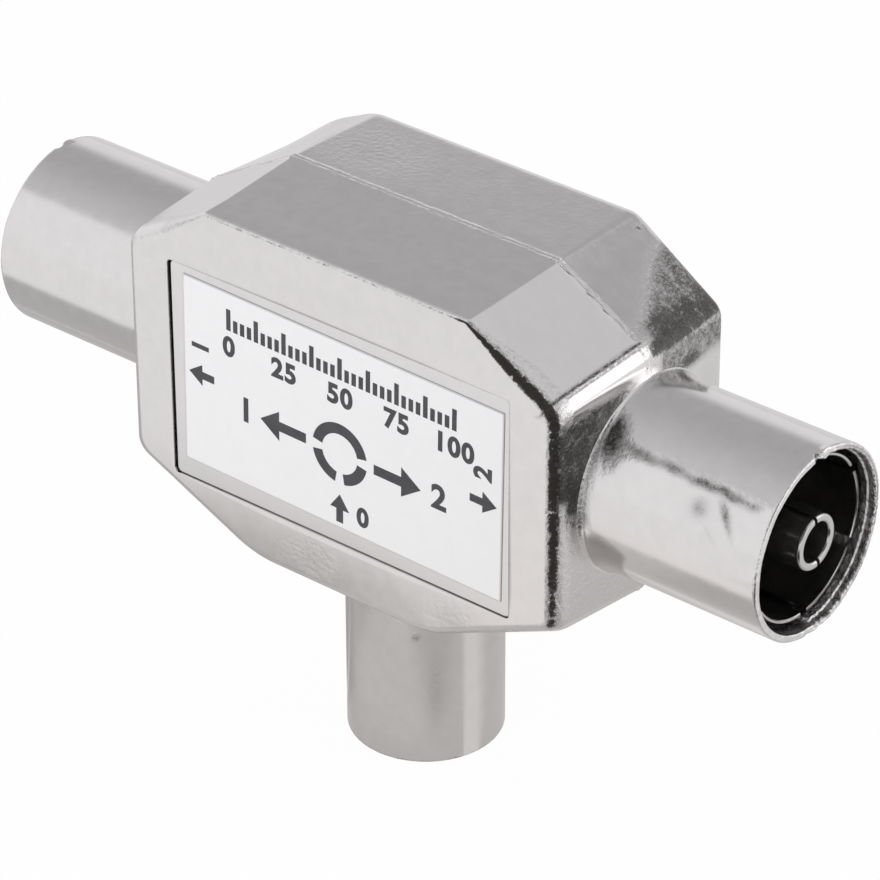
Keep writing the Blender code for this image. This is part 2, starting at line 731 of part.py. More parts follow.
def make_ground_tag(board_face, top_wall, material):
    """A bent strip from the board's earth pad up along the casting's wall."""
    outer = top_wall - SEAT_GAP
    side_view = [
        (0.0, outer - TAG_FOOT),
        (-TAG_THICKNESS, outer - TAG_FOOT),
        (-TAG_THICKNESS, outer - TAG_THICKNESS),
        (-TAG_LEG, outer - TAG_THICKNESS),
        (-TAG_LEG, outer),
        (0.0, outer),
    ]
    rings = [[(x, y, z) for y, z in side_view] for x in (-TAG_WIDTH / 2, TAG_WIDTH / 2)]
    return add_object("ground_tag", lofted_mesh("ground_tag", rings), board_face, material)


def make_circuit(board_face, looks):
    """The two transformers, the resistor, the capacitors and the earth tag."""
    low_z = -CAVITY_FLOOR + LOW_ROW_MARGIN
    for name, side in (("splitting", -1), ("matching", 1)):
        x = side * CORE_SPACING / 2
        make_core(f"{name}_core", board_face, x, CORE_Z, looks["ferrite"])
        make_winding(f"{name}_winding", board_face, x, CORE_Z, looks["copper"])
    tail_end = CAVITY_SIDE - TAIL_REACH
    make_chip("left_output_capacitor", board_face, -tail_end, OUTPUT_CHIP_Z, True, looks["ceramic"])
    make_chip("right_output_capacitor", board_face, tail_end, OUTPUT_CHIP_Z, True, looks["ceramic"])
    input_z = -CAVITY_FLOOR + TAIL_REACH + CHIP_LENGTH / 2 + SEAT_GAP
    make_chip("input_capacitor", board_face, 0.0, input_z, True, looks["ceramic"])
    make_chip("balance_capacitor", board_face, BALANCE_CHIP_X, low_z, False, looks["ceramic"])
    make_resistor(board_face, RESISTOR_X, low_z, looks["resistor"])
    make_ground_tag(board_face, COVER_CENTRE_Z + CAVITY_HEIGHT / 2, looks["brass"])


def build():
    """Put the splitter together."""
    clear_scene()
    looks = {
        "casting": make_material("nickel_plated_casting", (0.66, 0.65, 0.63), 1.0, 0.32),
        "cover": make_material("cover_metal", (0.72, 0.71, 0.70), 1.0, 0.30),
        "label": make_material("label_film", (0.86, 0.87, 0.89), 0.0, 0.45),
        "spring": make_material("spring_nickel", (0.60, 0.60, 0.58), 1.0, 0.25),
        "contact": make_material("contact_nickel", (0.72, 0.71, 0.69), 1.0, 0.22),
        "insulator": make_material("black_moulding", (0.012, 0.012, 0.012), 0.0, 0.40),
        "board": make_material("board_laminate", (0.10, 0.22, 0.09), 0.0, 0.50),
        "ferrite": make_material("ferrite", (0.05, 0.05, 0.055), 0.0, 0.60),
        "copper": make_material("enamelled_copper", (0.50, 0.16, 0.05), 1.0, 0.30),
        "ceramic": make_material("chip_ceramic", (0.45, 0.33, 0.20), 0.0, 0.50),
        "resistor": make_material("resistor_lacquer", (0.60, 0.48, 0.30), 0.0, 0.40),
        "brass": make_material("tinned_brass", (0.70, 0.66, 0.55), 1.0, 0.35),
    }
    centre = add_empty("port_axis", (0.0, 0.0, PORT_HEIGHT))
    ports = {
        "left": add_empty("left_port", (0, 0, 0), (0.0, 0.0, math.pi), centre),
        "right": add_empty("right_port", (0, 0, 0), (0.0, 0.0, 0.0), centre),
        "input": add_empty("input_port", (0, 0, 0), (0.0, math.pi / 2, 0.0), centre),
    }
    make_casting(ports, centre, looks["casting"])
    for side in ("left", "right"):
        make_sleeve(side, ports[side], looks["spring"])
        make_socket_insulator(side, ports[side], looks["insulator"])
        make_contact(side, ports[side], looks["contact"])
    make_plug_insulator(ports["input"], looks["insulator"])
    make_pin(ports["input"], looks["contact"])
    make_cover(centre, looks["cover"], looks["label"])
    make_board(centre, looks["board"])
    board_face = add_empty("board_face", (0.0, BOARD_FRONT, 0.0), parent=centre)
    make_circuit(board_face, looks)
    bpy.context.view_layer.update()


build()
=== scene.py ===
# %% [markdown]
# # A die-cast coaxial splitter
#
# The object is a small tee for an aerial cable: one zinc casting with a plug below and a
# socket at each side, nickel plated, with a sheet cover and a white label pressed into its
# front. The imported CAD model is the fixed frame. This script puts smooth surfaces, worn
# nickel and a printed label around it, one step to a cell.
#
# The frame is loaded first, and its box is kept: the sizes below are read from it.

# %% Load the frame
import math

import bpy
import numpy as np
from mathutils import Matrix, Vector


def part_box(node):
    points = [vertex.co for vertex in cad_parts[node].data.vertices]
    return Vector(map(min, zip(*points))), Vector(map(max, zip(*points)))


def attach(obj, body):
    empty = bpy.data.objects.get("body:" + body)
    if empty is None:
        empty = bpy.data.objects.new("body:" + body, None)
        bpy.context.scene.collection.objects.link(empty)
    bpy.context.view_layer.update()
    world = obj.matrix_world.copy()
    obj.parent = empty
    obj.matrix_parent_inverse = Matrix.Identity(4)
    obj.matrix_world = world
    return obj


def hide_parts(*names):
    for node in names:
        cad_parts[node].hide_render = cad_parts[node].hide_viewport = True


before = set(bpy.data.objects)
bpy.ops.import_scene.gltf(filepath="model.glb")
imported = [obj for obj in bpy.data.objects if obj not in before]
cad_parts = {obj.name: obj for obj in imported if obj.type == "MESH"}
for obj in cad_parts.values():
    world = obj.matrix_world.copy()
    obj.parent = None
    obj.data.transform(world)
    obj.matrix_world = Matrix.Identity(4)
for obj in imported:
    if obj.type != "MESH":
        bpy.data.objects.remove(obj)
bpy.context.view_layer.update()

# %% [markdown]
# Every size below is in millimetres, because the parts are small and the numbers are then
# easy to read. They are turned into metres where a mesh is made. The port axis is the line
# through both sockets, and most places are measured from it. Its height and the reach of the
# sockets come from the frame.

# %% Sizes shared by the pieces
MM = 0.001
sleeve_low, sleeve_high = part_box("right_spring_sleeve")
casting_low, casting_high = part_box("body_casting")
PORT_Z = (sleeve_low.z + sleeve_high.z) / 2 / MM
REACH = casting_high.x / MM
FRONT = -casting_low.y / MM
BACK = casting_high.y / MM
print(f"port axis at {PORT_Z:.2f} mm, reach {REACH:.2f}, front {FRONT:.2f}, back {BACK:.2f}")

# %% [markdown]
# ## Surfaces from arrays
#
# A casting could be carved with Booleans, but the seams would spoil the reflections in the
# plating. Instead each shell is a grid: a list of rings, each with the same number of points.
# The helper joins ring to ring with pairs of triangles, and closes the last ring onto the
# first where the section is a loop.
#
# Metal shows every fault of its normals, so the helper also measures the signed volume of the
# closed shell and turns the faces if it comes out negative.

# %% Join rings into a closed skin
def skin(rings, loop=False, straight=0):
    """Points and faces of a grid of rings, shape (rings, points, 3), closed round each ring.

    Quad (i, j) joins point j of ring i to point j + 1 and to the next ring, and is cut into two
    triangles. With loop the last ring is joined to the first. Otherwise each end ring is closed
    by a fan to its middle. Where a ring is one arc out and another back, straight is the number
    of points in each, and the ends are closed straight across between the two.
    """
    rows, columns = rings.shape[:2]
    index = np.arange(rows * columns).reshape(rows, columns)
    lower = index if loop else index[:-1]
    upper = np.roll(index, -1, axis=0) if loop else index[1:]
    beside = np.roll(lower, -1, axis=1), np.roll(upper, -1, axis=1)
    quads = np.stack([lower, beside[0], beside[1], upper], axis=-1).reshape(-1, 4)
    points, fans = rings.reshape(-1, 3), []
    if straight:
        step = np.arange(straight - 1)
        cap = np.stack([step, step + 1, columns - 2 - step, columns - 1 - step], axis=1)
        quads = np.vstack([quads, index[0][cap][:, ::-1], index[-1][cap]])
    elif not loop:
        first, last = len(points), len(points) + 1
        points = np.vstack([points, rings[0].mean(0), rings[-1].mean(0)])
        start, end = index[0], index[-1]
        fans.append(np.stack([np.roll(start, -1), start, np.full_like(start, first)], axis=1))
        fans.append(np.stack([end, np.roll(end, -1), np.full_like(end, last)], axis=1))
    return points, outward(points, np.vstack([quads[:, (0, 1, 2)], quads[:, (0, 2, 3)], *fans]))


def outward(points, faces):
    """The faces, turned round if the shell's signed volume, the sum of a.(b x c) / 6, is negative."""
    a, b, c = (points[faces[:, i]] for i in range(3))
    volume = np.einsum("ij,ij->i", a, np.cross(b, c)).sum() / 6
    return faces if volume > 0 else faces[:, ::-1]


def join(*shells):
    """Several (points, faces) shells as one."""
    points = np.vstack([shell[0] for shell in shells])
    starts = np.cumsum([0] + [len(shell[0]) for shell in shells[:-1]])
    return points, np.vstack([shell[1] + start for shell, start in zip(shells, starts)])


# %% [markdown]
# A piece is a mesh with its place in its points and its object at the origin. It rides on the one body
# there is, and the CAD nodes it stands for are hidden.
# Faces that meet at less than 35 degrees are shaded as one smooth surface.

# %% Put a shell into the scene
def put_in_scene(name, data):
    """A new object with this data."""
    item = bpy.data.objects.new(name, data)
    bpy.context.scene.collection.objects.link(item)
    return item


def mesh_object(name, points, faces):
    """A mesh object from points in millimetres."""
    mesh = bpy.data.meshes.new(name)
    mesh.from_pydata(np.array(points) * MM, [], faces)
    mesh.validate()
    return put_in_scene(name, mesh)


def add_piece(name, shell, slot, *nodes, masks=None):
    """A smooth piece that rides on the body, with optional named masks on its points."""
    points, faces = shell
    piece = mesh_object(name, points, faces.tolist())
    for mask, values in (masks or {}).items():
        attribute = piece.data.attributes.new(mask, "FLOAT", "POINT")
        attribute.data.foreach_set("value", values.astype(np.float32))
    piece.data.shade_smooth()
    piece.data.set_sharp_from_angle(angle=math.radians(35))
    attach(piece, "root")
    if nodes:
        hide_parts(*nodes)
    print(f"{name}: {len(points)} points, {len(faces)} triangles")
    return piece


# %% [markdown]
# ## The block
#
# The block is a flat octagon that is cast in two halves of a die. Each half is slightly
# smaller away from the parting plane, so that it leaves the die, and the front and back edges
# are rounded. It could be a box with cut corners and a Bevel modifier. Here it is a stack of
# outlines instead, because the draft, the round edges and the raised parting line are all
# changes of one outline with depth.
#
# An outline is kept as its flat sides: each side's outward direction, and its distance from
# the port axis. Moving a side is then one subtraction.

# %% The block's outline at any depth
HALF_WIDTH, HALF_HEIGHT = 15.95, 11.3
FRONT_CORNERS = np.array([6.0, 0.9, 1.55, 0.45, 0.45, 0.8, 1.2, 7.0])
BACK_CORNERS = np.array([6.0, 0.9, 1.1, 1.5, 2.6, 2.6, 1.2, 7.0])
BOTTOM_DROP, BOTTOM_FLARE = 0.20, 0.72
TOP_CHAMFER, BACK_CHAMFER, BOTTOM_CHAMFER = (6.3, 3.65), (6.2, 4.2), (9.2, 4.2)
FRONT_DRAFT, BACK_DRAFT = (0.18, 0.26), (0.21, 0.08)


def block_sides(y):
    """Outward directions (8, 2) and distances (8) of the block's sides at this depth.

    The corners move in by the draft times the share of the depth, and a side's distance is
    its corner's product with the side's outward direction.
    """
    share = -y / FRONT if y < 0 else y / BACK
    draft = np.array(FRONT_DRAFT if y < 0 else BACK_DRAFT) * share
    half, high = HALF_WIDTH - draft[0], HALF_HEIGHT - draft[1]
    wide, tall = TOP_CHAMFER
    if y > 0:
        wide += (BACK_CHAMFER[0] - wide) * share
        tall += (BACK_CHAMFER[1] - tall) * share
    low_wide, low_tall = BOTTOM_CHAMFER
    low, low_corner = -high - BOTTOM_DROP, -high - BOTTOM_DROP + low_tall
    right_corner = low_corner - BOTTOM_FLARE * (1 - abs(share))
    corners = np.array([
        (half - low_wide, low), (half, right_corner), (half, high - tall), (half - wide, high),
        (-half + wide, high), (-half, high - tall), (-half, low_corner), (-half + low_wide, low),
    ])
    along = np.roll(corners, -1, axis=0) - corners
    normals = np.stack([along[:, 1], -along[:, 0]], axis=1)
    normals /= np.linalg.norm(normals, axis=1)[:, None]
    return normals, (corners * normals).sum(1)


# %% [markdown]
# A ring has to meet the same direction from the middle at the same column, or the faces
# between two rings would twist. So each outline is measured along rays from the port axis: a
# ray meets the nearest flat side, or, inside a corner's sector, the corner's arc.

# %% Where rays from the middle meet an outline
def wrapped(turn):
    """The same angles, in radians, brought between minus and plus half a turn."""
    return (turn + math.pi) % math.tau - math.pi


def round_corner(normals, distances, i, radius, reach=1.0):
    """A round corner's centre, the angle of its middle, and its two ends' angles from there.

    The centre is where both sides cross after they have been moved in by the radius.
    """
    pair = normals[[i - 1, i]]
    centre = np.linalg.solve(pair, distances[[i - 1, i]] - radius)
    ends = centre + radius * reach * pair
    middle = math.atan2(*ends.sum(0)[::-1])
    return centre, middle, wrapped(np.arctan2(ends[:, 1], ends[:, 0]) - middle)


def outline(normals, distances, radii, rays):
    """Distance along each ray to a polygon of flat sides with round corners.

    A side at distance d with outward direction n is met at d / (n.u), u being the ray's
    direction. An arc of radius r round the centre c is met at c.u + sqrt(r^2 - |c|^2 +
    (c.u)^2). The radius may differ from corner to corner.
    """
    toward = np.stack([np.cos(rays), np.sin(rays)], axis=1)
    facing = toward @ normals.T
    reach = np.where(facing > 1e-6, distances / np.maximum(facing, 1e-6), np.inf).min(1)
    for i, radius in enumerate(np.broadcast_to(radii, len(normals))):
        centre, middle, ends = round_corner(normals, distances, i, radius)
        turn = wrapped(rays - middle)
        along = toward @ centre
        curved = along + np.sqrt(np.maximum(radius**2 - centre @ centre + along**2, 0))
        reach = np.where((turn > ends.min()) & (turn < ends.max()), curved, reach)
    return reach


def corner_rays(normals, distances, radius, count):
    """Extra rays, close together across each round corner and a little past its ends."""
    found = []
    for i in range(len(normals)):
        _, middle, ends = round_corner(normals, distances, i, radius, 1.15)
        found.append(middle + 1.1 * np.linspace(ends.min(), ends.max(), count))
    return np.concatenate(found)


OPENING_CENTRE, OPENING_HALF, OPENING_RADIUS = (0.03, -0.1), (12.44, 7.19), 0.3
FOUR_WAYS = np.array([(1.0, 0.0), (0.0, 1.0), (-1.0, 0.0), (0.0, -1.0)])


def opening_sides(grow=0.0):
    """The cover's opening as four sides, measured from the port axis."""
    return FOUR_WAYS, FOUR_WAYS @ OPENING_CENTRE + np.array(OPENING_HALF * 2) + grow


# %% [markdown]
# The rays are spread evenly, with more of them at the corners. Where two nearly fall together
# one is dropped, because the sliver between them would catch the light as a scratch.

# %% The rays
rays = np.concatenate([
    np.linspace(-math.pi, math.pi, 360, endpoint=False),
    corner_rays(*block_sides(0.0), 1.5, 24),
    corner_rays(*opening_sides(), OPENING_RADIUS, 8),
])
rays = np.unique(np.round(wrapped(rays), 5))
rays = rays[np.append(np.diff(rays) > 0.002, True)]
print(f"{len(rays)} rays")

# %% [markdown]
# Two curves shape most of what follows: a smooth step, and a bell that is 1 in its middle.

# %% Steps and bells
def soft(value, low, high):
    """0 below low, 1 above high, and between them the smooth step 3 s^2 - 2 s^3."""
    share = np.clip((value - low) / (high - low), 0, 1)
    return share * share * (3 - 2 * share)


def bell(value, middle, width):
    """1 at the middle, and e to the minus ((value - middle) / width)^2 away from it."""
    return np.exp(-(((value - middle) / width) ** 2))


# %% [markdown]
# The rings now run from the middle of the back, over the round back edge, across the parting
# line, round the front edge, over the face to the opening, and down into the pocket behind
# the cover. The front edge is rounder at the sides than on top, as on the real casting. The
# parting line is where the die's halves met: two low beads side by side, a little uneven.

# %% The block as one skin
SIDE_FILLET, SIDE_SWEEP, TOP_FILLET, BACK_FILLET = 0.85, 1.55, 0.28, 0.9
RIDGE_HEIGHT, RIDGE_WIDTH = 0.062, 0.84
LEFT_SLOPE, LEFT_SWELL = (130.5, 154.4), 0.40
POCKET_DEPTH, LEDGE_INSET, CAVITY_INSET, CAVITY_CORNER = 0.7, 1.29, 2.29, 0.8
BOARD_SEAT, CAVITY_BACK = 1.8, BACK - 1.5
EDGE_STEPS = 13


def ring(y, reach):
    """Points at this depth, or depths, at these distances along the rays."""
    y = np.broadcast_to(y, rays.shape)
    return np.stack([reach * np.cos(rays), y, PORT_Z + reach * np.sin(rays)], axis=1)


def block_reach(y, inset=0.0):
    """The block's outline with its sides moved in.

    Towards the back the corners at the top and on the left grow rounder, and the left slope
    swells by a squared sine.
    """
    normals, distances = block_sides(y)
    share = max(y, 0.0) / BACK
    radii = FRONT_CORNERS + (BACK_CORNERS - FRONT_CORNERS) * share
    low, high = LEFT_SLOPE
    across = np.clip((np.degrees(rays) - low) / (high - low), 0, 1)
    swell = LEFT_SWELL * share**1.3 * np.sin(math.pi * across) ** 2
    return outline(normals, distances - inset, radii, rays) + swell


def block_rings():
    """The skin's rings, and how much each point lies on a round edge, from 0 to 1."""
    rings, edges = [], []

    def add(y, reach, edge=0.0):
        rings.append(ring(y, reach))
        edges.append(np.broadcast_to(edge, rays.shape))

    for shrink in (0.02, 0.35, 0.75, 0.97):
        add(BACK, block_reach(BACK, BACK_FILLET + 0.05) * shrink)
    for step in np.linspace(1, 0, EDGE_STEPS):
        turn = step * math.pi / 2
        y = BACK - BACK_FILLET * (1 - math.sin(turn))
        add(y, block_reach(y, BACK_FILLET * (1 - math.cos(turn))), 0.3 * math.sin(step * math.pi))
    for y in (BACK - BACK_FILLET) * np.linspace(0.95, 0.08, 14):
        add(y, block_reach(y))
    uneven = np.random.default_rng(7)
    lumps = uneven.uniform(0.45, 1.3, rays.shape)
    height = RIDGE_HEIGHT * lumps * (0.75 + 0.3 * np.sin(rays * 9 + 1) + 0.25 * np.sin(rays * 31))
    on_right = soft(np.cos(rays), 0.55, 0.7) * soft(np.sin(rays), 0.3, 0.4)
    for share in np.linspace(-1, 1, 21):
        y = -share * RIDGE_WIDTH / 2
        beads = bell(share, 0.38, 0.26) + 0.8 * bell(share, -0.34, 0.26)
        rise = (height + 0.02 * uneven.uniform(-1, 1, rays.shape)) * beads
        add(y, block_reach(y) + rise, 0.12 * beads + 0.2 * on_right * bell(share, -0.5, 0.3))
    for y in (SIDE_SWEEP - FRONT) * np.linspace(0.1, 0.93, 8):
        add(y, block_reach(y))
    topmost = np.clip((np.sin(rays) - 0.55) / 0.2, 0, 1)
    fillet = SIDE_SWEEP + (TOP_FILLET - SIDE_SWEEP) * topmost
    draft = block_reach(SIDE_SWEEP - FRONT) - block_reach(-FRONT)
    for step in np.linspace(0, 1, EDGE_STEPS):
        inward, behind = 1 - math.cos(step * math.pi / 2), 1 - math.sin(step * math.pi / 2)
        wide, tight = (block_reach(-FRONT, size * inward) for size in (SIDE_FILLET, TOP_FILLET))
        reach = wide + (tight - wide) * topmost + draft * behind
        worn = max(bell(step, 0.64, 0.21), 0.28 * (1 - step) * (step > 0))
        add(fillet * behind - FRONT, reach, worn)
    hole = outline(*opening_sides(), OPENING_RADIUS, rays)
    rim = outline(*opening_sides(0.04), OPENING_RADIUS + 0.04, rays)
    face = block_reach(-FRONT, SIDE_FILLET + 0.05)
    for share in (1, 0.7, 0.4, 0.12, 0):
        add(-FRONT, rim + (face - rim) * share)
    add(0.015 - FRONT, hole + 0.015, 0.3)
    add(0.05 - FRONT, hole)
    add(POCKET_DEPTH - FRONT, hole)
    ledge, inner = (outline(*opening_sides(-inset), CAVITY_CORNER, rays)
                    for inset in (LEDGE_INSET, CAVITY_INSET))
    add(POCKET_DEPTH - FRONT, ledge)
    add(BOARD_SEAT, ledge)
    add(BOARD_SEAT, inner)
    add(CAVITY_BACK, inner)
    add(CAVITY_BACK, inner * 0.02)
    return np.array(rings), np.array(edges)


block_grid, block_edges = block_rings()
print("block grid:", block_grid.shape)

# %% [markdown]
# The plating is darkest where dirt and rough casting meet: on the round edges that face right, over the
# back of the right slope, and on the wall around the barrel. On that wall, in front of the parting line,
# painted shade of the corner above the barrel is added to the dirt. Two masks on the points carry that to
# the material, `edge` for the round edges and `stain_and_shade` for the places with stains and the
# painted shade. They are sums and products of steps and bells, like shapes cut out of paper.

# %% Masks on the block
def block_stain_and_shade(points):
    """How dirty each point of the block is, and where shade is painted.

    On the right slope the distance up from its lower edge is its offset's product with the
    slope's direction. Behind the parting line the dirt covers the lower slope and reaches up
    along the back edge, and it is densest on the lower edge itself.
    """
    x, y, z = points[..., 0], points[..., 1], points[..., 2] - PORT_Z
    wide, tall = TOP_CHAMFER
    rise = ((HALF_WIDTH - x) * wide + (z - HALF_HEIGHT + tall) * tall) / math.hypot(wide, tall)
    fade = 1 - soft(y, BACK - 0.4, BACK - 0.02)
    on_slope = soft(z, 6.6, 7.2) * soft(x, 8.0, 9.5)
    shore = 0.7 + 1.55 * np.maximum(rise - 1.6, 0)
    reaching = soft(y - shore, -1.6, 2.0) * (1 - soft(rise, 4.6, 6.2))
    slope = on_slope * reaching * (0.66 + 0.44 * (1 - soft(rise, 0.5, 2.2))) * fade
    slope_edge = 1.05 * soft(z, 6.8, 7.3) * soft(x + 0.13 * y, 15.3, 15.75) * soft(y, 0.1, 0.8) * fade
    front_line = 0.9 * on_slope * bell(rise, 0.78, 0.13) * (1 - soft(y, 0.0, 0.4))
    side = soft(x, 15.2, 15.5)
    below = 0.64 * fade * side * soft(y, 0.6, 1.6) * soft(z, 4.0, 5.6)
    smudge = side * bell(y, 4.0, 1.9) * bell(z, 5.3, 0.55)
    # Painted shade with dirt: the right wall in front of the parting line, in the corner above the
    # barrel, is darkened in its colour.
    front_side = side * (1 - soft(y, -2.5, 0.0)) * soft(z, -0.8, 0.9) * (1 - soft(z, 6.1, 6.7))
    front_side = front_side * (0.84 + 0.2 * bell(z, 1.7, 1.4))
    front_side = front_side * np.maximum(soft(z, 0.8, 1.8), soft(y, -7.3, -6.8))
    lower_side = 0.22 * side * (1 - soft(z, -2.0, 0.0))
    patch = bell(x, -6.5, 3.2) * bell(y, 3.2, 2.2)
    crinkles = soft(z, 10.9, 11.1) * (0.24 * patch + 0.05 * soft(y, 0.6, 1.6))
    along, across = 0.6 * (x - 10.4) - 0.8 * (y - 6.4), 0.8 * (x - 10.4) + 0.6 * (y - 6.4)
    nick = 0.9 * soft(z, 10.0, 10.4) * bell(along, 0, 0.5) * bell(across, 0, 0.16)
    flecks = 0.26 * (1 - soft(y, -7.99, -7.9)) * bell(z, -9.2, 1.0)
    flecks = flecks * (bell(x, -2.0, 1.6) + bell(x, 8.5, 1.6))
    return np.maximum.reduce([slope, slope_edge, front_line, below, smudge, front_side,
                              lower_side, crinkles, nick, flecks])


right_edge = soft(np.sin(rays), -0.44, -0.38) * soft(np.cos(rays), 0.58, 0.72)
right_edge = right_edge * (0.52 + 0.48 * soft(np.sin(rays), -0.35, 0.1))
top_edge = soft(np.sin(rays), 0.5, 0.6)
left_slope = soft(-np.cos(rays), 0.62, 0.70) * soft(np.sin(rays), 0.36, 0.44)
edge_mask = block_edges * (0.45 + right_edge + 0.14 * top_edge - 0.12 * left_slope)
print(f"strongest edge {edge_mask.max():.2f}")

# %% [markdown]
# ## Barrels and plug
#
# A barrel is a turned shape: a profile of distance along the port and radius, carried round
# the port's axis. It starts wide inside the block's wall, sweeps in along a fillet and a
# slight flare, runs to the rim, and comes back down the mouth to the floor of the bore, so
# that the wall has its real thickness. The radius and the distance may also change round the
# turn, and that makes the step between the die's halves and the notch and lump at the rim's
# top.

# %% Carry a profile round a port
PORTS = {
    "right": ((0, 0, PORT_Z), (1, 0, 0), (0, 0, 1), (0, -1, 0)),
    "left": ((0, 0, PORT_Z), (-1, 0, 0), (0, 0, 1), (0, -1, 0)),
    "plug": ((0, 0, PORT_Z), (0, 0, -1), (0, 1, 0), (1, 0, 0)),
}
TURN = np.linspace(0, math.tau, 288, endpoint=False)


def turned(port, along, radius, turn):
    """Rings of points: origin + along * axis + radius * (cos(turn) * top + sin(turn) * side)."""
    origin, axis, top, side = (np.array(part, float) for part in PORTS[port])
    along, radius, turn = np.broadcast_arrays(along, radius, turn)
    around = np.cos(turn)[..., None] * top + np.sin(turn)[..., None] * side
    return origin + along[..., None] * axis + radius[..., None] * around


def revolve(port, profile, every=1):
    """Rings of a plain profile, whose rows are a distance along the port and a radius."""
    profile = np.array(profile)
    return turned(port, profile[:, 0, None], profile[:, 1, None], TURN[None, ::every])


def quarter(count):
    """Pairs of 1 - cos and 1 - sin over a quarter turn, the two ways along a round edge."""
    turn = np.linspace(0, math.pi / 2, count)
    return np.stack([1 - np.cos(turn), 1 - np.sin(turn)], axis=1)


# %% [markdown]
# The rim is a narrow flat ring. Its edges are rounded by a tenth of a millimetre, which is
# what catches the light. On the back half the mouth is a little wider, has a second step, and
# a shallow groove runs in the rim, because the halves of the die don't quite match. Where the
# halves meet, a notch is left at the top and bottom, and at the top a lump of metal beside
# it. The left barrel is cast a little longer than the right one.

# %% The barrels
BARREL_RADIUS, BARREL_FILLET, FLARE, FLARE_LENGTH, LEFT_EXTRA = 5.85, 0.40, 0.12, 0.45, 0.32
MOUTH_RADIUS, MOUTH_DEPTH, BORE_RADIUS, BORE_FLOOR = 5.4, 2.2, 5.3, 16.5
RIM_EDGE, MOUTH_EDGE, HIDDEN_ROOT, HIDDEN_BORE = 0.12, 0.09, 6.4, 3.6
BLOCK_WALL = HALF_WIDTH - FRONT_DRAFT[0]
BURIED = 1.5


def barrel(port):
    """Rings of a barrel, and the mask of its worn edges."""
    reach = REACH + (LEFT_EXTRA if port == "left" else 0)
    back_half = soft(-np.sin(TURN), -0.02, 0.02)
    from_top = wrapped(TURN)
    notch = bell(from_top, 0.05, 0.034) + 0.25 * bell(np.abs(from_top), 3.05, 0.03)
    lump = bell(from_top, -0.075, 0.055)
    wear = 0.012 * np.sin(TURN * 5 + 1.3) + 0.01 * np.sin(TURN * 13)
    wear = wear + 0.02 * np.random.default_rng(3).uniform(-1, 1, TURN.shape) * (0.3 + 0.7 * back_half)
    rows = []

    def row(along, radius, edge=0.0):
        rows.append(np.broadcast_arrays(along, radius, edge, TURN)[:3])

    row(BLOCK_WALL - BURIED, HIDDEN_ROOT)
    for out, up in quarter(10):
        row(BLOCK_WALL + BARREL_FILLET * out, BARREL_RADIUS + FLARE + BARREL_FILLET * up,
            0.3 * (1 - out) ** 2)
    start = BLOCK_WALL + BARREL_FILLET
    for share in (*np.linspace(0.006, 0.12, 14), *np.linspace(0.14, 0.96, 34), 0.985):
        out = (reach - RIM_EDGE - start) * share
        row(start + out, BARREL_RADIUS + FLARE * math.exp(-out / FLARE_LENGTH))
    end = reach - 0.02 - 0.22 * notch - 0.05 * (1 - back_half) + wear
    worn = 0.34 + 0.12 * back_half + 0.5 * notch - 0.34 * lump
    for down, back in quarter(6):
        row(end - RIM_EDGE * back,
            BARREL_RADIUS - RIM_EDGE * down - 0.14 * notch + 0.09 * lump * (1 - down), worn)
    for groove, radius in ((0, 5.69), (1, 5.63), (0, 5.57)):
        row(end - 0.08 * groove * back_half, radius + 0.06 * notch - 0.10 * lump,
            worn * (1 - 0.4 * groove))
    inner = MOUTH_RADIUS + 0.02 * back_half - 0.16 * lump
    for back, up in quarter(5):
        row(end - (MOUTH_EDGE + 0.10 * back_half) * back, inner + MOUTH_EDGE * up + 0.08 * notch,
            0.38 + 0.3 * back_half)
    row(end - 0.42, inner, 0.5)
    row(end - 0.50, inner - 0.10 * back_half, 0.6)
    row(REACH - MOUTH_DEPTH, inner - 0.10 * back_half, 0.5)
    row(REACH - MOUTH_DEPTH - 0.1, BORE_RADIUS, 0.2)
    row(BORE_FLOOR, BORE_RADIUS)
    row(BORE_FLOOR, HIDDEN_BORE)
    row(BLOCK_WALL - BURIED, HIDDEN_BORE)
    along, radius, edge = np.array(rows).transpose(1, 0, 2)
    return turned(port, along, radius, TURN), edge


# %% [markdown]
# The plug is the same idea with a plain rim: a straight shell that slides into the spring
# sleeve of the next socket.

# %% The plug's shell
PLUG_RADIUS, PLUG_BORE, PLUG_FLOOR, PLUG_FILLET = 4.75, 4.35, 13.5, 0.6
PLUG_EDGE, PLUG_INNER_EDGE, PLUG_HIDDEN_BORE = 0.15, 0.08, 2.9
BLOCK_FLOOR = HALF_HEIGHT - FRONT_DRAFT[1] + BOTTOM_DROP


def plug_shell():
    """Rings of the plug's shell, and its edge mask."""
    rows = [(BLOCK_FLOOR - BURIED, PLUG_RADIUS + PLUG_FILLET, 0)]
    for out, up in quarter(8) * PLUG_FILLET:
        rows.append((BLOCK_FLOOR + out, PLUG_RADIUS + up, 0.3))
    start = BLOCK_FLOOR + PLUG_FILLET
    for share in (*np.linspace(0.05, 0.93, 18), 0.985):
        rows.append((start + (PORT_Z - PLUG_EDGE - start) * share, PLUG_RADIUS, 0))
    for down, back in quarter(6) * PLUG_EDGE:
        rows.append((PORT_Z - back, PLUG_RADIUS - down, 0.5))
    for back, up in quarter(4) * PLUG_INNER_EDGE:
        rows.append((PORT_Z - back, PLUG_BORE + up, 0.4))
    rows += [(PLUG_FLOOR, PLUG_BORE, 0), (PLUG_FLOOR, PLUG_HIDDEN_BORE, 0),
             (BLOCK_FLOOR - BURIED, PLUG_HIDDEN_BORE, 0)]
    rows = np.array(rows)
    points = revolve("plug", rows[:, :2])
    return points, np.broadcast_to(rows[:, 2, None], points.shape[:2])
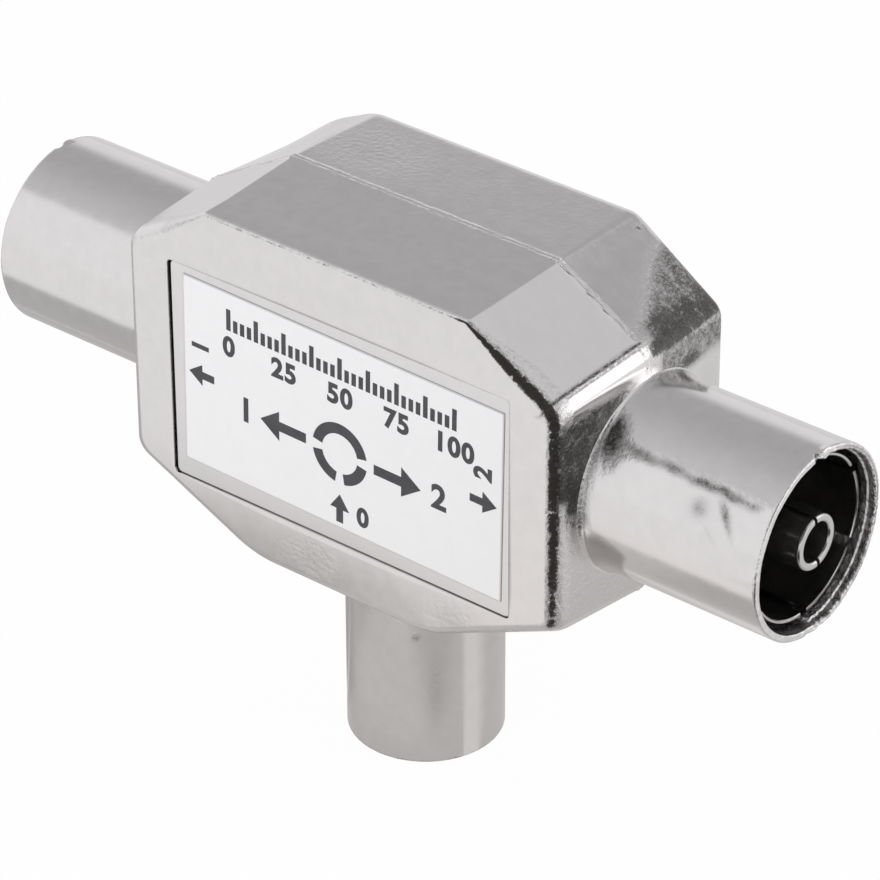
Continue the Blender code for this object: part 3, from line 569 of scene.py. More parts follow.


# %% [markdown]
# The block, the barrels and the plug were poured as one piece of metal, so they are four closed skins in
# one object, each reaching a little into the block. On the right barrel a dirty streak runs along the
# upper front, with two smudges below it, and dirt has settled in the fillet. The corner at the barrel's
# root is also darkened by painted shade.

# %% The casting
def barrel_stain_and_shade(points):
    """Marks on the right barrel: a streak of dirt along it, two smudges, dirt near its root, and painted
    shade in the corner at its root.
    """
    x, y, z = points[..., 0], points[..., 1], points[..., 2] - PORT_Z
    turn = np.degrees(np.arctan2(z, -y))
    drift = 46.5 - 0.38 * (x - 17.0) + 0.5 * np.sin(1.9 * x) + 0.4 * np.sin(4.7 * x + 1)
    streak = bell(turn, drift, 3.6) * soft(x, 16.3, 17.0) * (1 - soft(x, 26.3, 27.2))
    streak = streak * (0.52 + 0.08 * np.sin(3.1 * x) + 0.16 * bell(x, 23.9, 1.3))
    dust = bell(turn, 50 - 5 * (x - 16.2), 13) * soft(x, 16.0, 16.35) * (1 - soft(x, 16.4, 18.0))
    # Painted shade: the corner where the barrel meets the block, across its front and top, is darkened in
    # its colour.
    shade = 0.42 * (1 - soft(x, 15.9, 16.9)) * soft(turn, -12, 0) * (1 - soft(turn, 40, 60))
    smudge = 0.5 * bell(turn, 31, 7) * bell(x, 23.2, 0.72)
    trail = 0.28 * bell(turn, 20, 6) * bell(x, 23.2 + 0.10 * (30 - turn), 0.26)
    width = 0.2 + 0.016 * np.maximum(turn - 20, 0)
    drip = 0.66 * bell(turn, 31, 10) * bell(x, 24.4 + 0.065 * (40 - turn), width)
    return np.maximum.reduce([streak, dust, shade, smudge, trail, drip])


def plug_stain(points):
    """A soft grey patch on the front of the plug, and two small marks above it."""
    x, y, z = points[..., 0], points[..., 1], points[..., 2]
    turn = np.degrees(np.arctan2(x, -y))
    patch = 0.3 * bell(turn, 46, 9) * bell(z, 5.0, 3.4)
    marks = 0.6 * bell(turn, 33, 5) * bell(z, 8.9 - 0.03 * (turn - 33), 0.25)
    return np.maximum(patch, marks)


ends = np.zeros(2)
shells = [skin(block_grid)]
edge_values = [edge_mask.ravel(), ends]
stain_and_shade_values = [block_stain_and_shade(block_grid).ravel(), ends]
stained_and_shaded = ((barrel("right"), barrel_stain_and_shade), (barrel("left"), None), (plug_shell(), plug_stain))
for (points, edge), stain_and_shade_of in stained_and_shaded:
    shells.append(skin(points, loop=True))
    edge_values.append(edge.ravel())
    stain_and_shade_values.append(stain_and_shade_of(points).ravel() if stain_and_shade_of else np.zeros(edge.size))
# This mask carries the stains and the painted shade together.
casting_masks = {"edge": np.concatenate(edge_values), "stain_and_shade": np.concatenate(stain_and_shade_values)}
cast_body = add_piece("cast_body", join(*shells), "casting", "body_casting", masks=casting_masks)

# %% [markdown]
# ## Spring sleeve and contacts
#
# Inside each barrel is a sleeve of thin sheet, slit into six fingers that grip the plug, and
# in the middle a tube for the pin, slit into two. A finger is a small closed section, an
# outer arc and an inner arc, carried along a line that leans in and out again.

# %% Fingers of a slit tube
def fingers(port, along, outer, inner, slots, slot_width, first_slot, steps=14):
    """One closed shell for each finger between two slots.

    At each distance along the port the section is the outer arc, then the inner arc back. It
    spans from half a slot after one slot's middle to half a slot before the next one's.
    """
    along, outer, inner = (np.array(values, float)[:, None] for values in (along, outer, inner))
    shells = []
    for slot in range(slots):
        middle = first_slot + math.tau * (slot + 0.5) / slots
        share = np.linspace(-1, 1, steps)[None, :]
        half = math.pi / slots
        wide = (half - slot_width / 2 / outer) * share
        tight = (half - slot_width / 2 / inner) * share
        out = turned(port, along, outer, middle + wide)
        back = turned(port, along, inner, middle + tight)[:, ::-1]
        shells.append(skin(np.concatenate([out, back], axis=1), straight=steps))
    return join(*shells)


# %% Sleeves
SLEEVE_INNER, SLEEVE_OUTER, SLEEVE_ROOT, SLEEVE_TIP = 4.8, 5.0, 16.8, REACH - 0.8
SLOTS, SLOT_WIDTH, SLOT_ROOT = 6, 0.6, SLEEVE_TIP - 5.5
WAIST, WAIST_BEHIND_TIP, TIP_ROUND = 0.1, 1.7, 0.04


def sleeve(port):
    """A plain ring at the root, and six fingers with a waist and softened tips."""
    along = [SLOT_ROOT - 0.3, SLOT_ROOT, SLEEVE_TIP - WAIST_BEHIND_TIP, SLEEVE_TIP - 0.05, SLEEVE_TIP]
    lean, thinner = -WAIST * np.array([0, 0, 1, 0.05, 0]), TIP_ROUND * np.array([0, 0, 0, 0, 1])
    outer, inner = SLEEVE_OUTER + lean - thinner, SLEEVE_INNER + lean + thinner
    split = fingers(port, along, outer, inner, SLOTS, SLOT_WIDTH, 0.0)
    loop = [(SLEEVE_ROOT, SLEEVE_INNER), (SLOT_ROOT - 0.1, SLEEVE_INNER),
            (SLOT_ROOT - 0.1, SLEEVE_OUTER), (SLEEVE_ROOT, SLEEVE_OUTER)]
    return join(split, skin(revolve(port, loop), loop=True))


for port in ("right", "left"):
    add_piece(f"{port}_sleeve", sleeve(port), "spring", f"{port}_spring_sleeve")

# %% [markdown]
# The centre contact is a tube on a shank. Its tip is rounded inside and out, and that is the
# bright ring in the middle of the dark socket. The pin of the plug is a plain turned rod with
# a round nose.

# %% Centre contacts and the pin
CONTACT_TIP, CONTACT_SHOULDER, CAVITY_SIDE = REACH - 0.1, 18.0, 11.18
CONTACT_OUTER, CONTACT_BORE, SHANK, TAIL, LIP = 1.7, 1.2, 0.9, 0.5, 0.17
BORE_TIP, BORE_DEPTH, SLIT_DEPTH, SLIT, SLIT_TURN = 8.6, 8.0, 5.0, 0.24, math.radians(8)
AXIS = 0.02


def contact(port):
    """A solid of revolution up to the slots' root, then two fingers with round lips."""
    root, tail = CONTACT_TIP - SLIT_DEPTH, CAVITY_SIDE + 0.3
    profile = [
        (CONTACT_TIP - BORE_TIP, AXIS), (CONTACT_TIP - BORE_DEPTH, CONTACT_BORE), (root, CONTACT_BORE),
        (root, CONTACT_OUTER), (CONTACT_SHOULDER, CONTACT_OUTER), (CONTACT_SHOULDER, SHANK),
        (tail, SHANK), (tail, TAIL), (CAVITY_SIDE - 3.0, TAIL), (CAVITY_SIDE - 3.0, AXIS),
    ]
    body = skin(revolve(port, profile, every=3))
    inward, back = (quarter(7) * LIP).T
    along = [root - 0.3, root + 1, *(CONTACT_TIP - back)]
    outer = [CONTACT_OUTER, CONTACT_OUTER, *(CONTACT_OUTER - inward)]
    inner = [CONTACT_BORE, CONTACT_BORE, *(CONTACT_BORE + inward)]
    return join(body, fingers(port, along, outer, inner, 2, SLIT, SLIT_TURN, steps=32))


for port in ("right", "left"):
    add_piece(f"{port}_contact", contact(port), "contact", f"{port}_centre_contact")

PIN, PIN_SHANK, PIN_TIP = 1.2, 0.7, PORT_Z - 0.5
PIN_END, SHANK_END, TAIL_END = 15.6, 6.3, 3.0
nose = [(PIN_TIP - PIN * back, PIN * (1 - up) + AXIS / 2) for back, up in quarter(8)]
rest = [(PIN_END, PIN), (PIN_END, PIN_SHANK), (SHANK_END, PIN_SHANK), (SHANK_END, TAIL),
        (TAIL_END, TAIL), (TAIL_END, AXIS)]
add_piece("plug_pin", skin(revolve("plug", nose + rest, every=3)), "contact", "input_pin")

# %% [markdown]
# ## Cover and label
#
# The cover is a stamped rectangle of sheet, pressed into the opening with a hair of play, and
# its edge is slightly rolled by the punch. The label is a thin film stuck on it, turned by one
# degree, as labels put on by hand are. Both are the same plate function: a rounded rectangle
# carried from the back, over a rounded edge, to the middle of the front.

# %% Plates
COVER_CENTRE, COVER_HALF = (0.10, -0.09), (12.34, 7.15)
LABEL_CENTRE, LABEL_HALF, LABEL_TURN = (0.31, 0.08), (11.7, 6.25), math.radians(1.0)
COVER_CORNER, COVER_THICK, COVER_ROLL, COVER_RECESS = 0.3, 0.6, 0.06, 0.10
LABEL_CORNER, LABEL_THICK, LABEL_ROLL = 0.07, 0.06, 0.02


def plate(centre, half, radius, back, front, roll, turn=0.0):
    """A plate with round corners, about its own centre, turned clockwise, and its edge's mask."""
    sides = np.array(half * 2)
    around = np.unique(np.concatenate([
        np.linspace(-math.pi, math.pi, 120, endpoint=False), corner_rays(FOUR_WAYS, sides, radius, 8),
    ]))
    cosine, sine = math.cos(turn), math.sin(turn)
    rings, edges = [], []

    def add(y, inset, shrink=1.0, edge=0.0):
        reach = outline(FOUR_WAYS, sides - inset, radius, around) * shrink
        x, z = reach * np.cos(around), reach * np.sin(around)
        y = np.broadcast_to(y, x.shape)
        rings.append(np.stack([centre[0] + x * cosine + z * sine, y,
                               PORT_Z + centre[1] + z * cosine - x * sine], axis=1))
        edges.append(np.full(len(around), edge))

    add(back, 0, 0.03)
    add(back, 0, edge=1.0)
    for inset, behind in quarter(5) * roll:
        add(front + behind, inset, edge=1.0)
    add(front, roll + 0.05, edge=1.0)
    for shrink in (1.0, 0.85, 0.5, 0.03):
        add(front, roll + 0.1, shrink)
    return skin(np.array(rings)), np.concatenate([*edges, np.zeros(2)])


COVER_FACE = -FRONT + COVER_RECESS
LABEL_FACE = COVER_FACE - LABEL_THICK
cover_shell, cover_edge = plate(
    COVER_CENTRE, COVER_HALF, COVER_CORNER, COVER_FACE + COVER_THICK, COVER_FACE, COVER_ROLL)
cover = add_piece("cover", cover_shell, "cover", "cover_plate", masks={"edge": cover_edge})
label_shell, label_edge = plate(
    LABEL_CENTRE, LABEL_HALF, LABEL_CORNER, COVER_FACE, LABEL_FACE, LABEL_ROLL, LABEL_TURN)
label = add_piece("paper_label", label_shell, "label", "label", masks={"edge": label_edge})

# %% [markdown]
# ## Print
#
# The label says what each port is for with signs alone: an arrow out at each side, an arrow
# in below, and in the middle a ring where one line becomes two, with the numbers of the ports.
# Above it is a plain scale. Arrows, lines and bands are outlines given as points. Such an
# outline may turn inward, so it isn't a grid: a flat curve object fills it by itself. Numbers
# come from Blender's own font. All of it is made one mesh.

# %% Draw the print
INK_DEPTH, INK_SPREAD = 0.012, 0.07
PORT_ARROW, LINE_ARROW = (1.9, 0.5, 1.0), (3.4, 0.65, 1.4)
RING_OUTER, RING_INNER, RING_CENTRE = 2.0, 1.3, (0, -1.2)


def arrow(centre, direction, length, width, head):
    """A solid arrow with its middle at the centre, pointing along the direction."""
    ahead = np.array(direction, float) / np.linalg.norm(direction)
    side = np.array([-ahead[1], ahead[0]])
    neck = length / 2 - head
    half = [(-length / 2, width / 2), (neck, width / 2), (neck, head * 0.7)]
    shape = [*half, (length / 2, 0), *((along, -across) for along, across in half[::-1])]
    return np.array([centre + ahead * along + side * across for along, across in shape])


def box(left, low, right, high):
    """A rectangle."""
    return np.array([(left, low), (right, low), (right, high), (left, high)])


def band(start, end):
    """Part of the ring in the middle, from one angle in degrees to another."""
    turn = np.radians(np.linspace(start, end, 30))
    around = np.stack([np.cos(turn), np.sin(turn)], axis=1)
    return np.vstack([around * RING_OUTER, around[::-1] * RING_INNER]) + RING_CENTRE


marks = [
    arrow((-10.35, -0.1), (-1, 0), *PORT_ARROW), arrow((10.35, -0.1), (1, 0), *PORT_ARROW),
    arrow((0.0, -4.9), (0, 1), *PORT_ARROW),
    band(10, 170), band(190, 260), band(280, 350),
    arrow((4.2, -1.2), (1, 0), *LINE_ARROW), arrow((-4.2, -1.2), (-1, 0), *LINE_ARROW),
    *[box(x, 3.75, x + 0.32, 4.55 if i % 4 else 5.15) for i, x in enumerate(np.linspace(-8.4, 8.08, 33))],
]
print(len(marks), "marks")


def ink_shape(points):
    """A flat curve object, filled, with a hair of depth, from one closed outline."""
    curve = bpy.data.curves.new("print_shape", "CURVE")
    curve.dimensions = "2D"
    curve.fill_mode = "BOTH"
    curve.extrude = INK_DEPTH * MM
    spline = curve.splines.new("POLY")
    spline.points.add(len(points) - 1)
    spline.points.foreach_set("co", np.hstack([points * MM, np.zeros((len(points), 2))]).ravel())
    spline.use_cyclic_u = True
    return put_in_scene("print_shape", curve)


def ink_text(words, size, centre, turn=0.0):
    """A number from the built-in font, centred, with a hair of depth."""
    text = bpy.data.curves.new("print_number", "FONT")
    text.body = words
    text.size = size * MM
    text.align_x = text.align_y = "CENTER"
    text.extrude = INK_DEPTH * MM
    text.offset = INK_SPREAD * MM
    text.space_character = 1.12
    item = put_in_scene("print_number", text)
    item.location = (centre[0] * MM, centre[1] * MM, 0)
    item.rotation_euler = (0, 0, turn)
    return item


def to_label_mesh(items):
    """Make curves and text one mesh, stand it on the label, and leave its object at the origin."""
    points, faces = [], []
    middle = Vector((LABEL_CENTRE[0], LABEL_FACE, PORT_Z + LABEL_CENTRE[1]))
    place = Matrix.Translation(middle * MM)
    place = place @ Matrix.Rotation(LABEL_TURN, 4, "Y") @ Matrix.Rotation(math.pi / 2, 4, "X")
    bpy.context.view_layer.update()
    for item in items:
        evaluated = item.evaluated_get(bpy.context.evaluated_depsgraph_get())
        made = bpy.data.meshes.new_from_object(evaluated)
        made.transform(place @ item.matrix_world)
        faces += [[len(points) + corner for corner in face.vertices] for face in made.polygons]
        points += [vert.co / MM for vert in made.vertices]
        bpy.data.objects.remove(item)
    return mesh_object("label_print", points, faces)


numbers = [ink_text(str(25 * i), 1.75, (x, 2.6)) for i, x in enumerate(np.linspace(-8.24, 8.24, 5))]
numbers += [
    ink_text("1", 2.2, (-7.0, -1.2)), ink_text("2", 2.2, (7.2, -1.2)), ink_text("0", 1.7, (1.7, -4.9)),
    ink_text("1", 1.7, (-10.35, 1.8), math.pi / 2), ink_text("2", 1.7, (10.35, 1.8), math.pi / 2),
]
label_print = to_label_mesh([ink_shape(shape) for shape in marks] + numbers)
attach(label_print, "root")
print("print:", len(label_print.data.polygons), "faces")

# %% [markdown]
# ## Node helpers
#
# Materials are built from a few small helpers. `put` adds a node, feeds its inputs in order
# and returns its output as a `Signal`. Signals can be added, taken away, multiplied and
# divided, and each of these adds one Math node, so that a recipe reads like its formula.

# %% Small helpers for nodes
def feed(socket, value):
    """Link a signal to an input, or set the input to a constant. None leaves it alone."""
    if isinstance(value, Signal):
        value.tree.links.new(value.socket, socket)
    elif value is not None:
        socket.default_value = (*value, 1.0) if socket.type == "RGBA" else value


def feed_all(node, values):
    """Feed a node's inputs by name."""
    for name, value in values.items():
        feed(node.inputs[name], value)


def put(tree, kind, *inputs, out=0, **settings):
    """Add a node, set it up, feed its inputs in order, and return an output as a signal."""
    node = tree.nodes.new(kind)
    for name, value in settings.items():
        setattr(node, name, value)
    for socket, value in zip(node.inputs, inputs):
        feed(socket, value)
    return Signal(node.outputs[out])


def reckon(kind, swapped=False):
    """A method that joins a signal and another value, or the other and it, by a Math node."""
    def method(self, other):
        pair = (other, self) if swapped else (self, other)
        return put(self.tree, "ShaderNodeMath", *pair, operation=kind)
    return method


class Signal:
    """An output socket that takes part in formulas."""

    __add__ = __radd__ = reckon("ADD")
    __mul__ = __rmul__ = reckon("MULTIPLY")
    __sub__, __rsub__ = reckon("SUBTRACT"), reckon("SUBTRACT", swapped=True)
    __truediv__, __rtruediv__ = reckon("DIVIDE"), reckon("DIVIDE", swapped=True)
    maximum, angle_over = reckon("MAXIMUM"), reckon("ARCTAN2")

    def __init__(self, socket):
        self.socket, self.tree = socket, socket.id_data

    def remap(self, low, high, to_low=0.0, to_high=1.0, kind="SMOOTHSTEP"):
        """The value brought from one range into another, eased and clamped."""
        return put(self.tree, "ShaderNodeMapRange", self, low, high, to_low, to_high,
                   interpolation_type=kind)


def mix_colours(share, a, b):
    """Two colours mixed by a share."""
    return put(share.tree, "ShaderNodeMix", share, *[None] * 5, a, b, out=2, data_type="RGBA")


def noise(place, size, detail, rough):
    """Noise whose features are about this many millimetres across."""
    return put(place.tree, "ShaderNodeTexNoise", place, None, 1.0 / size, detail, rough, out="Fac")


def in_millimetres(place):
    """A place in metres, in millimetres."""
    return put(place.tree, "ShaderNodeVectorMath", place, None, None, 1 / MM, operation="SCALE")


def x_y_z(place):
    """The three parts of a place or direction."""
    node = put(place.tree, "ShaderNodeSeparateXYZ", place).socket.node
    return [Signal(socket) for socket in node.outputs]


def new_group(name, outputs, **inputs):
    """An empty node group: its tree, its place in millimetres, its other inputs, its end."""
    tree = bpy.data.node_groups.new(name, "ShaderNodeTree")
    tree.interface.new_socket("place", in_out="INPUT", socket_type="NodeSocketVector")
    for key, value in inputs.items():
        socket = tree.interface.new_socket(key, in_out="INPUT", socket_type="NodeSocketFloat")
        socket.default_value = value
    for key in outputs:
        tree.interface.new_socket(key, in_out="OUTPUT", socket_type="NodeSocketFloat")
    start, end = tree.nodes.new("NodeGroupInput"), tree.nodes.new("NodeGroupOutput")
    place, *others = [Signal(start.outputs[key]) for key in ("place", *inputs)]
    return tree, in_millimetres(place), others, end.inputs


# %% [markdown]
# ## Effects that finishes share
#
# `cast_grain` is the skin of a casting under its plating: a fine grain, and slow waves where
# the metal shrank. It puts out a height in millimetres for the bump, and a tone between 0 and
# 1 that can vary colour and roughness.

# %% Group: cast grain
cast_grain, place, (grain_size, grain_height, wave_size, wave_height), end = new_group(
    "cast_grain", ["height", "tone"], grain_size=0.16, grain_height=0.003, wave_size=3.0,
    wave_height=0.01)
grain, wave = noise(place, grain_size, 3.0, 0.6), noise(place, wave_size, 1.0, 0.4)
feed(end["height"], grain * grain_height + wave * wave_height)
feed(end["tone"], noise(place, 1.1, 5.0, 0.65).remap(0.3, 0.7))

# %% [markdown]
# `edge_speckle` breaks a mask into specks. Its level is the mask made uneven by slow patches
# and hammered dents. Where the level is high the specks join up, with a few clean glints left
# between them, and where it is low only faint ones are left, so a worn band has a ragged
# edge. It also raises the surface in the same places, in fine grit and in the slower dents,
# because it is roughness of the casting that holds the dirt.

# %% Group: edge speckle
edge_speckle, place, (mask, speck_size, grit_height, dent_height), end = new_group(
    "edge_speckle", ["specks", "veil", "height"], mask=0.0, speck_size=0.14, grit_height=0.07,
    dent_height=0.16)
grit, patch = noise(place, speck_size, 4.0, 0.8), noise(place, 0.75, 3.0, 0.6)
dents = noise(place, 0.32, 2.0, 0.5)
level = mask * ((patch + dents) * 1.3 - 0.3)
specks = (grit - (0.80 - level * 0.48)).remap(-0.06, 0.08) * level.remap(0.2, 0.95, 0.35, 1.0)
glints = dents.remap(0.58, 0.68) * level.remap(1.45, 1.0)
feed(end["specks"], specks * (1.0 - glints * 0.55))
feed(end["veil"], level.remap(0.55, 1.15))
feed(end["height"], mask * ((grit - 0.5) * grit_height + (dents - 0.5) * dent_height))

# %% [markdown]
# ## Finishes
#
# A finish is a Principled material with a bump. Every recipe below starts from a new one
# and from the object's own coordinates. The objects all sit at the origin, so these are the
# same place on the part for every piece.

# %% Start and end a finish
def new_finish(name, metallic, roughness, colour):
    """A material, its Principled shader, and the place on the object."""
    material = bpy.data.materials.new(name)
    material.use_nodes = True
    shader = material.node_tree.nodes["Principled BSDF"]
    feed_all(shader, {"Metallic": metallic, "Roughness": roughness, "Base Color": colour})
    material.diffuse_color = (*colour, 1.0)
    return material, shader, put(material.node_tree, "ShaderNodeTexCoord", out="Object")


def place_group(group, place, **values):
    """Put a group into a material with its own values. Returns its outputs by name."""
    node = place.tree.nodes.new("ShaderNodeGroup")
    node.node_tree = group
    feed_all(node, {"place": place, **values})
    return {socket.name: Signal(socket) for socket in node.outputs}


def mask_of(place, name):
    """One of the masks on the points."""
    return put(place.tree, "ShaderNodeAttribute", out="Fac", attribute_name=name)


def complete(shader, colour, roughness, height):
    """Feed the shader its colour, its roughness, and a bump from a height in millimetres."""
    bump = height.tree.nodes.new("ShaderNodeBump")
    feed_all(bump, {"Strength": 1.0, "Distance": MM, "Height": height})
    normal = Signal(bump.outputs["Normal"])
    feed_all(shader, {"Base Color": colour, "Roughness": roughness, "Normal": normal})


# %% [markdown]
# The nickel plating is the finish that makes this object. It is a pale metal with a trace of warmth, a
# little less than mirror bright. The grain and the waves bend its reflections; the specks, a thin veil of
# grey, the dirt of the stains and the painted shade carried in the same mask darken it; and tone changes
# the roughness so that no two places shine alike.

# %% Nickel on the casting
# The colour of dirt, which is also the colour of the painted shade.
DIRT_AND_SHADE = (0.035, 0.031, 0.027)


def nickel(name, clean, roughness, grain, wave, masked=False):
    """Plated metal: colour from clean to dirty by specks and masks, darker where shade is painted, and
    roughness and bump from the grain.
    """
    material, shader, place = new_finish(name, 1.0, roughness, clean)
    grained = place_group(cast_grain, place, grain_height=grain, wave_height=wave)
    height, tone = grained["height"], grained["tone"]
    colour = mix_colours(tone, tuple(0.955 * part for part in clean), clean)
    rough = tone.remap(0.0, 1.0, roughness - 0.02, roughness + 0.03, "LINEAR")
    if masked:
        edge, stained_and_shaded = mask_of(place, "edge"), mask_of(place, "stain_and_shade")
        worn = place_group(edge_speckle, place, mask=edge.maximum(stained_and_shaded))
        # Painted shade: where the mask holds shade, in the corners at the right barrel, the colour is
        # mixed toward dark as it is for dirt.
        grime_and_shade = stained_and_shaded.remap(0.0, 1.0) * tone.remap(0.1, 0.9, 0.54, 0.76)
        colour = mix_colours((worn["veil"] * 0.62).maximum(grime_and_shade), colour, DIRT_AND_SHADE)
        solid = worn["specks"] * edge.remap(0.2, 0.9, 0.72, 0.95)
        colour = mix_colours(solid, colour, DIRT_AND_SHADE)
        height = height + worn["height"]
        rough = rough + worn["specks"] * 0.15
    complete(shader, colour, rough, height)
    return material


casting_finish = nickel("plated_casting", (0.70, 0.681, 0.683), 0.14, 0.0012, 0.012, masked=True)
cover_finish = nickel("plated_sheet", (0.70, 0.685, 0.69), 0.20, 0.0008, 0.008)
spring_finish = nickel("spring_metal", (0.44, 0.43, 0.42), 0.20, 0.001, 0.004)
contact_finish = nickel("contact_metal", (0.50, 0.49, 0.48), 0.22, 0.001, 0.004)

# %% [markdown]
# Everything but the plated metal shares one recipe: a colour that wanders between two tones, a roughness
# between two values, and a grain. The label is a satin film, white with a trace of blue, with the faint
# unevenness of the glue below it, and a painted shade of grey along its edge. The ink is a dark grey that
# is a little thin in places.

# %% Label and ink
def toned(name, colour, dark, light, metallic, rough, edge_shade=None, **grain):
    """Colour and roughness between two values by the grain's tone, with a fine bump."""
    material, shader, place = new_finish(name, metallic, sum(rough) / 2, colour)
    grained = place_group(cast_grain, place, **grain)
    shade = mix_colours(grained["tone"], dark, light)
    # Painted shade: the edge mask mixes a grey into the colour along the label's rim.
    if edge_shade:
        shade = mix_colours(mask_of(place, "edge"), shade, edge_shade)
    complete(shader, shade, grained["tone"].remap(0.0, 1.0, *rough), grained["height"])
    return material


def dress(item, material):
    """Give every slot of an object this material."""
    if not item.data.materials:
        item.data.materials.append(material)
    for i in range(len(item.data.materials)):
        item.data.materials[i] = material


film = toned("label_film", (0.83, 0.83, 0.845), (0.822, 0.824, 0.84), (0.838, 0.84, 0.855), 0.0,
             (0.38, 0.46), edge_shade=(0.56, 0.56, 0.57), grain_size=0.25, grain_height=0.0006,
             wave_size=2.5, wave_height=0.006)
ink = toned("label_ink", (0.045, 0.045, 0.05), (0.035, 0.035, 0.04), (0.062, 0.062, 0.068), 0.0,
            (0.45, 0.6), grain_size=0.09, grain_height=0.001, wave_height=0.0)
dress(cast_body, casting_finish)
dress(cover, cover_finish)
dress(label, film)
dress(label_print, ink)
for port in ("right", "left"):
    dress(bpy.data.objects[f"{port}_sleeve"], spring_finish)
    dress(bpy.data.objects[f"{port}_contact"], contact_finish)
dress(bpy.data.objects["plug_pin"], contact_finish)

# %% [markdown]
# The insulators and the parts on the circuit board are CAD nodes whose shape is right, so
# they stay and only get a finish. Most of them are closed in, but a part in a library may be
# opened up, so each has its own.

# %% Finishes for the inner parts
INNER = {
    # name: dark and light tone, metallic, roughness, size and height of the grain, CAD nodes
    "black_moulding": ((0.011, 0.011, 0.010), (0.021, 0.020, 0.019), 0.0, 0.42, 0.2, 0.002,
                       "left_insulator", "right_insulator", "input_insulator"),
    "board_laminate": ((0.05, 0.15, 0.06), (0.07, 0.19, 0.08), 0.0, 0.45, 0.3, 0.002, "circuit_board"),
    "ferrite": ((0.03, 0.03, 0.034), (0.06, 0.058, 0.06), 0.0, 0.6, 0.12, 0.006,
                "splitting_core", "matching_core"),
    "wire_enamel": ((0.42, 0.13, 0.04), (0.55, 0.20, 0.07), 1.0, 0.28, 0.15, 0.001,
                    "splitting_winding", "matching_winding"),
    "chip_ceramic": ((0.36, 0.26, 0.15), (0.46, 0.35, 0.21), 0.0, 0.5, 0.1, 0.002,
                     "input_capacitor", "balance_capacitor", "left_output_capacitor",
                     "right_output_capacitor"),
    "resistor_lacquer": ((0.52, 0.41, 0.25), (0.62, 0.50, 0.32), 0.0, 0.35, 0.2, 0.002,
                         "isolation_resistor"),
    "tinned_strip": ((0.55, 0.53, 0.48), (0.68, 0.66, 0.60), 1.0, 0.35, 0.15, 0.003, "ground_tag"),
}
for name, (dark, light, metallic, rough, size, height, *nodes) in INNER.items():
    material = toned(name, light, dark, light, metallic, (rough - 0.05, rough + 0.06),
                     grain_size=size, grain_height=height, wave_height=0.002)
    for node in nodes:
        dress(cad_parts[node], material)
print("finishes:", len(bpy.data.materials))

# %% [markdown]
# ## Floor, light and camera
#
# The part stands on the end of its plug, on a pale floor that is larger than the view. To the
# camera the floor is nearly white and keeps a soft shadow. In the metal it shows what the
# table of a small studio shows: grey close to the part, where the part and its barrels keep
# the light away, white further out, a lit strip to the right of the plug, and a black card in
# front on the right, which photographers put there to give bright metal dark edges.

# %% Floor
WHITE = (1.0, 1.0, 1.0)
CAMERA_SIDE, CAMERA_FRONT = 0.63, 0.777


def table_tone(place):
    """Brightness of the table in reflections, from the place on it."""
    x, y, _ = x_y_z(in_millimetres(place))
    front = (y - x.remap(-12.0, 4.0) * 3.5).remap(-23.0, -29.0)
    right = x.remap(38.0, 47.0)
    behind = y.remap(16.0, 55.0) * 0.5
    open_floor = front.maximum(right).maximum(behind)
    before_plug = x.remap(12.0, 4.0) * x.remap(-15.0, -8.0) * y.remap(-2.0, -9.0) * 0.12
    first = (y + 1.86).angle_over(x - 4.37)
    last = (y + 0.82).angle_over(x - 4.68)
    beam = first.remap(0.0, 0.2) * last.remap(1.0, 0.36) * x.remap(34.0, 22.0) * 0.20
    beside_plug = x.remap(0.0, 5.0) * y.remap(-9.0, -1.0) * 0.07
    left_of_plug = x.remap(-4.0, -8.0) * x.remap(-24.0, -18.0) * y.remap(-6.0, -2.0) * 0.12
    near = 0.56 + beside_plug + (before_plug + beam) - left_of_plug
    light = near * (1.0 - open_floor) + open_floor * 1.01
    toward = x * CAMERA_SIDE - y * CAMERA_FRONT
    beside = x * CAMERA_FRONT + y * CAMERA_SIDE
    card = toward.remap(30.0, 40.0) * toward.remap(120.0, 80.0)
    card = card * beside.remap(-24.0, -12.0) * beside.remap(48.0, 40.0)
    return light * (1.0 - card * 0.97)


def floor_finish():
    """Nearly white to the camera, with the part's shadow, and the table's tone in reflections."""
    material, shader, place = new_finish("pale_floor", 0.0, 0.9, (0.90, 0.90, 0.90))
    tree = material.node_tree
    far = put(tree, "ShaderNodeVectorMath", place, operation="LENGTH", out="Value")
    tint = mix_colours(far.remap(0.030, 0.045), (1.0, 0.978, 0.948), (1.0, 0.992, 0.99))
    tone = put(tree, "ShaderNodeEmission", tint, table_tone(place))
    white = put(tree, "ShaderNodeEmission", WHITE, 1.0)
    to_camera = put(tree, "ShaderNodeMixShader", 0.97, Signal(shader.outputs[0]), white)
    seen = put(tree, "ShaderNodeLightPath", out="Is Camera Ray")
    mixed = put(tree, "ShaderNodeMixShader", seen, tone, to_camera)
    feed(tree.nodes["Material Output"].inputs["Surface"], mixed)
    return material


FLOOR_HALF = 1500.0
square = np.array([(-1, -1, 0), (1, -1, 0), (1, 1, 0), (-1, 1, 0)]) * FLOOR_HALF
floor = mesh_object("floor", square - (0, 0, 0.01), [(0, 1, 2, 3)])
dress(floor, floor_finish())

# %% [markdown]
# Bright metal has no looks of its own: it shows the room. The room here is a plain light tent,
# painted into the world: bright walls, a grey ceiling, a darker gap in front where the camera
# looks in, and a lighter window low in that gap. The edge between wall and ceiling, the
# eaves, is what draws the long bands on the barrels. To the camera the world is white.

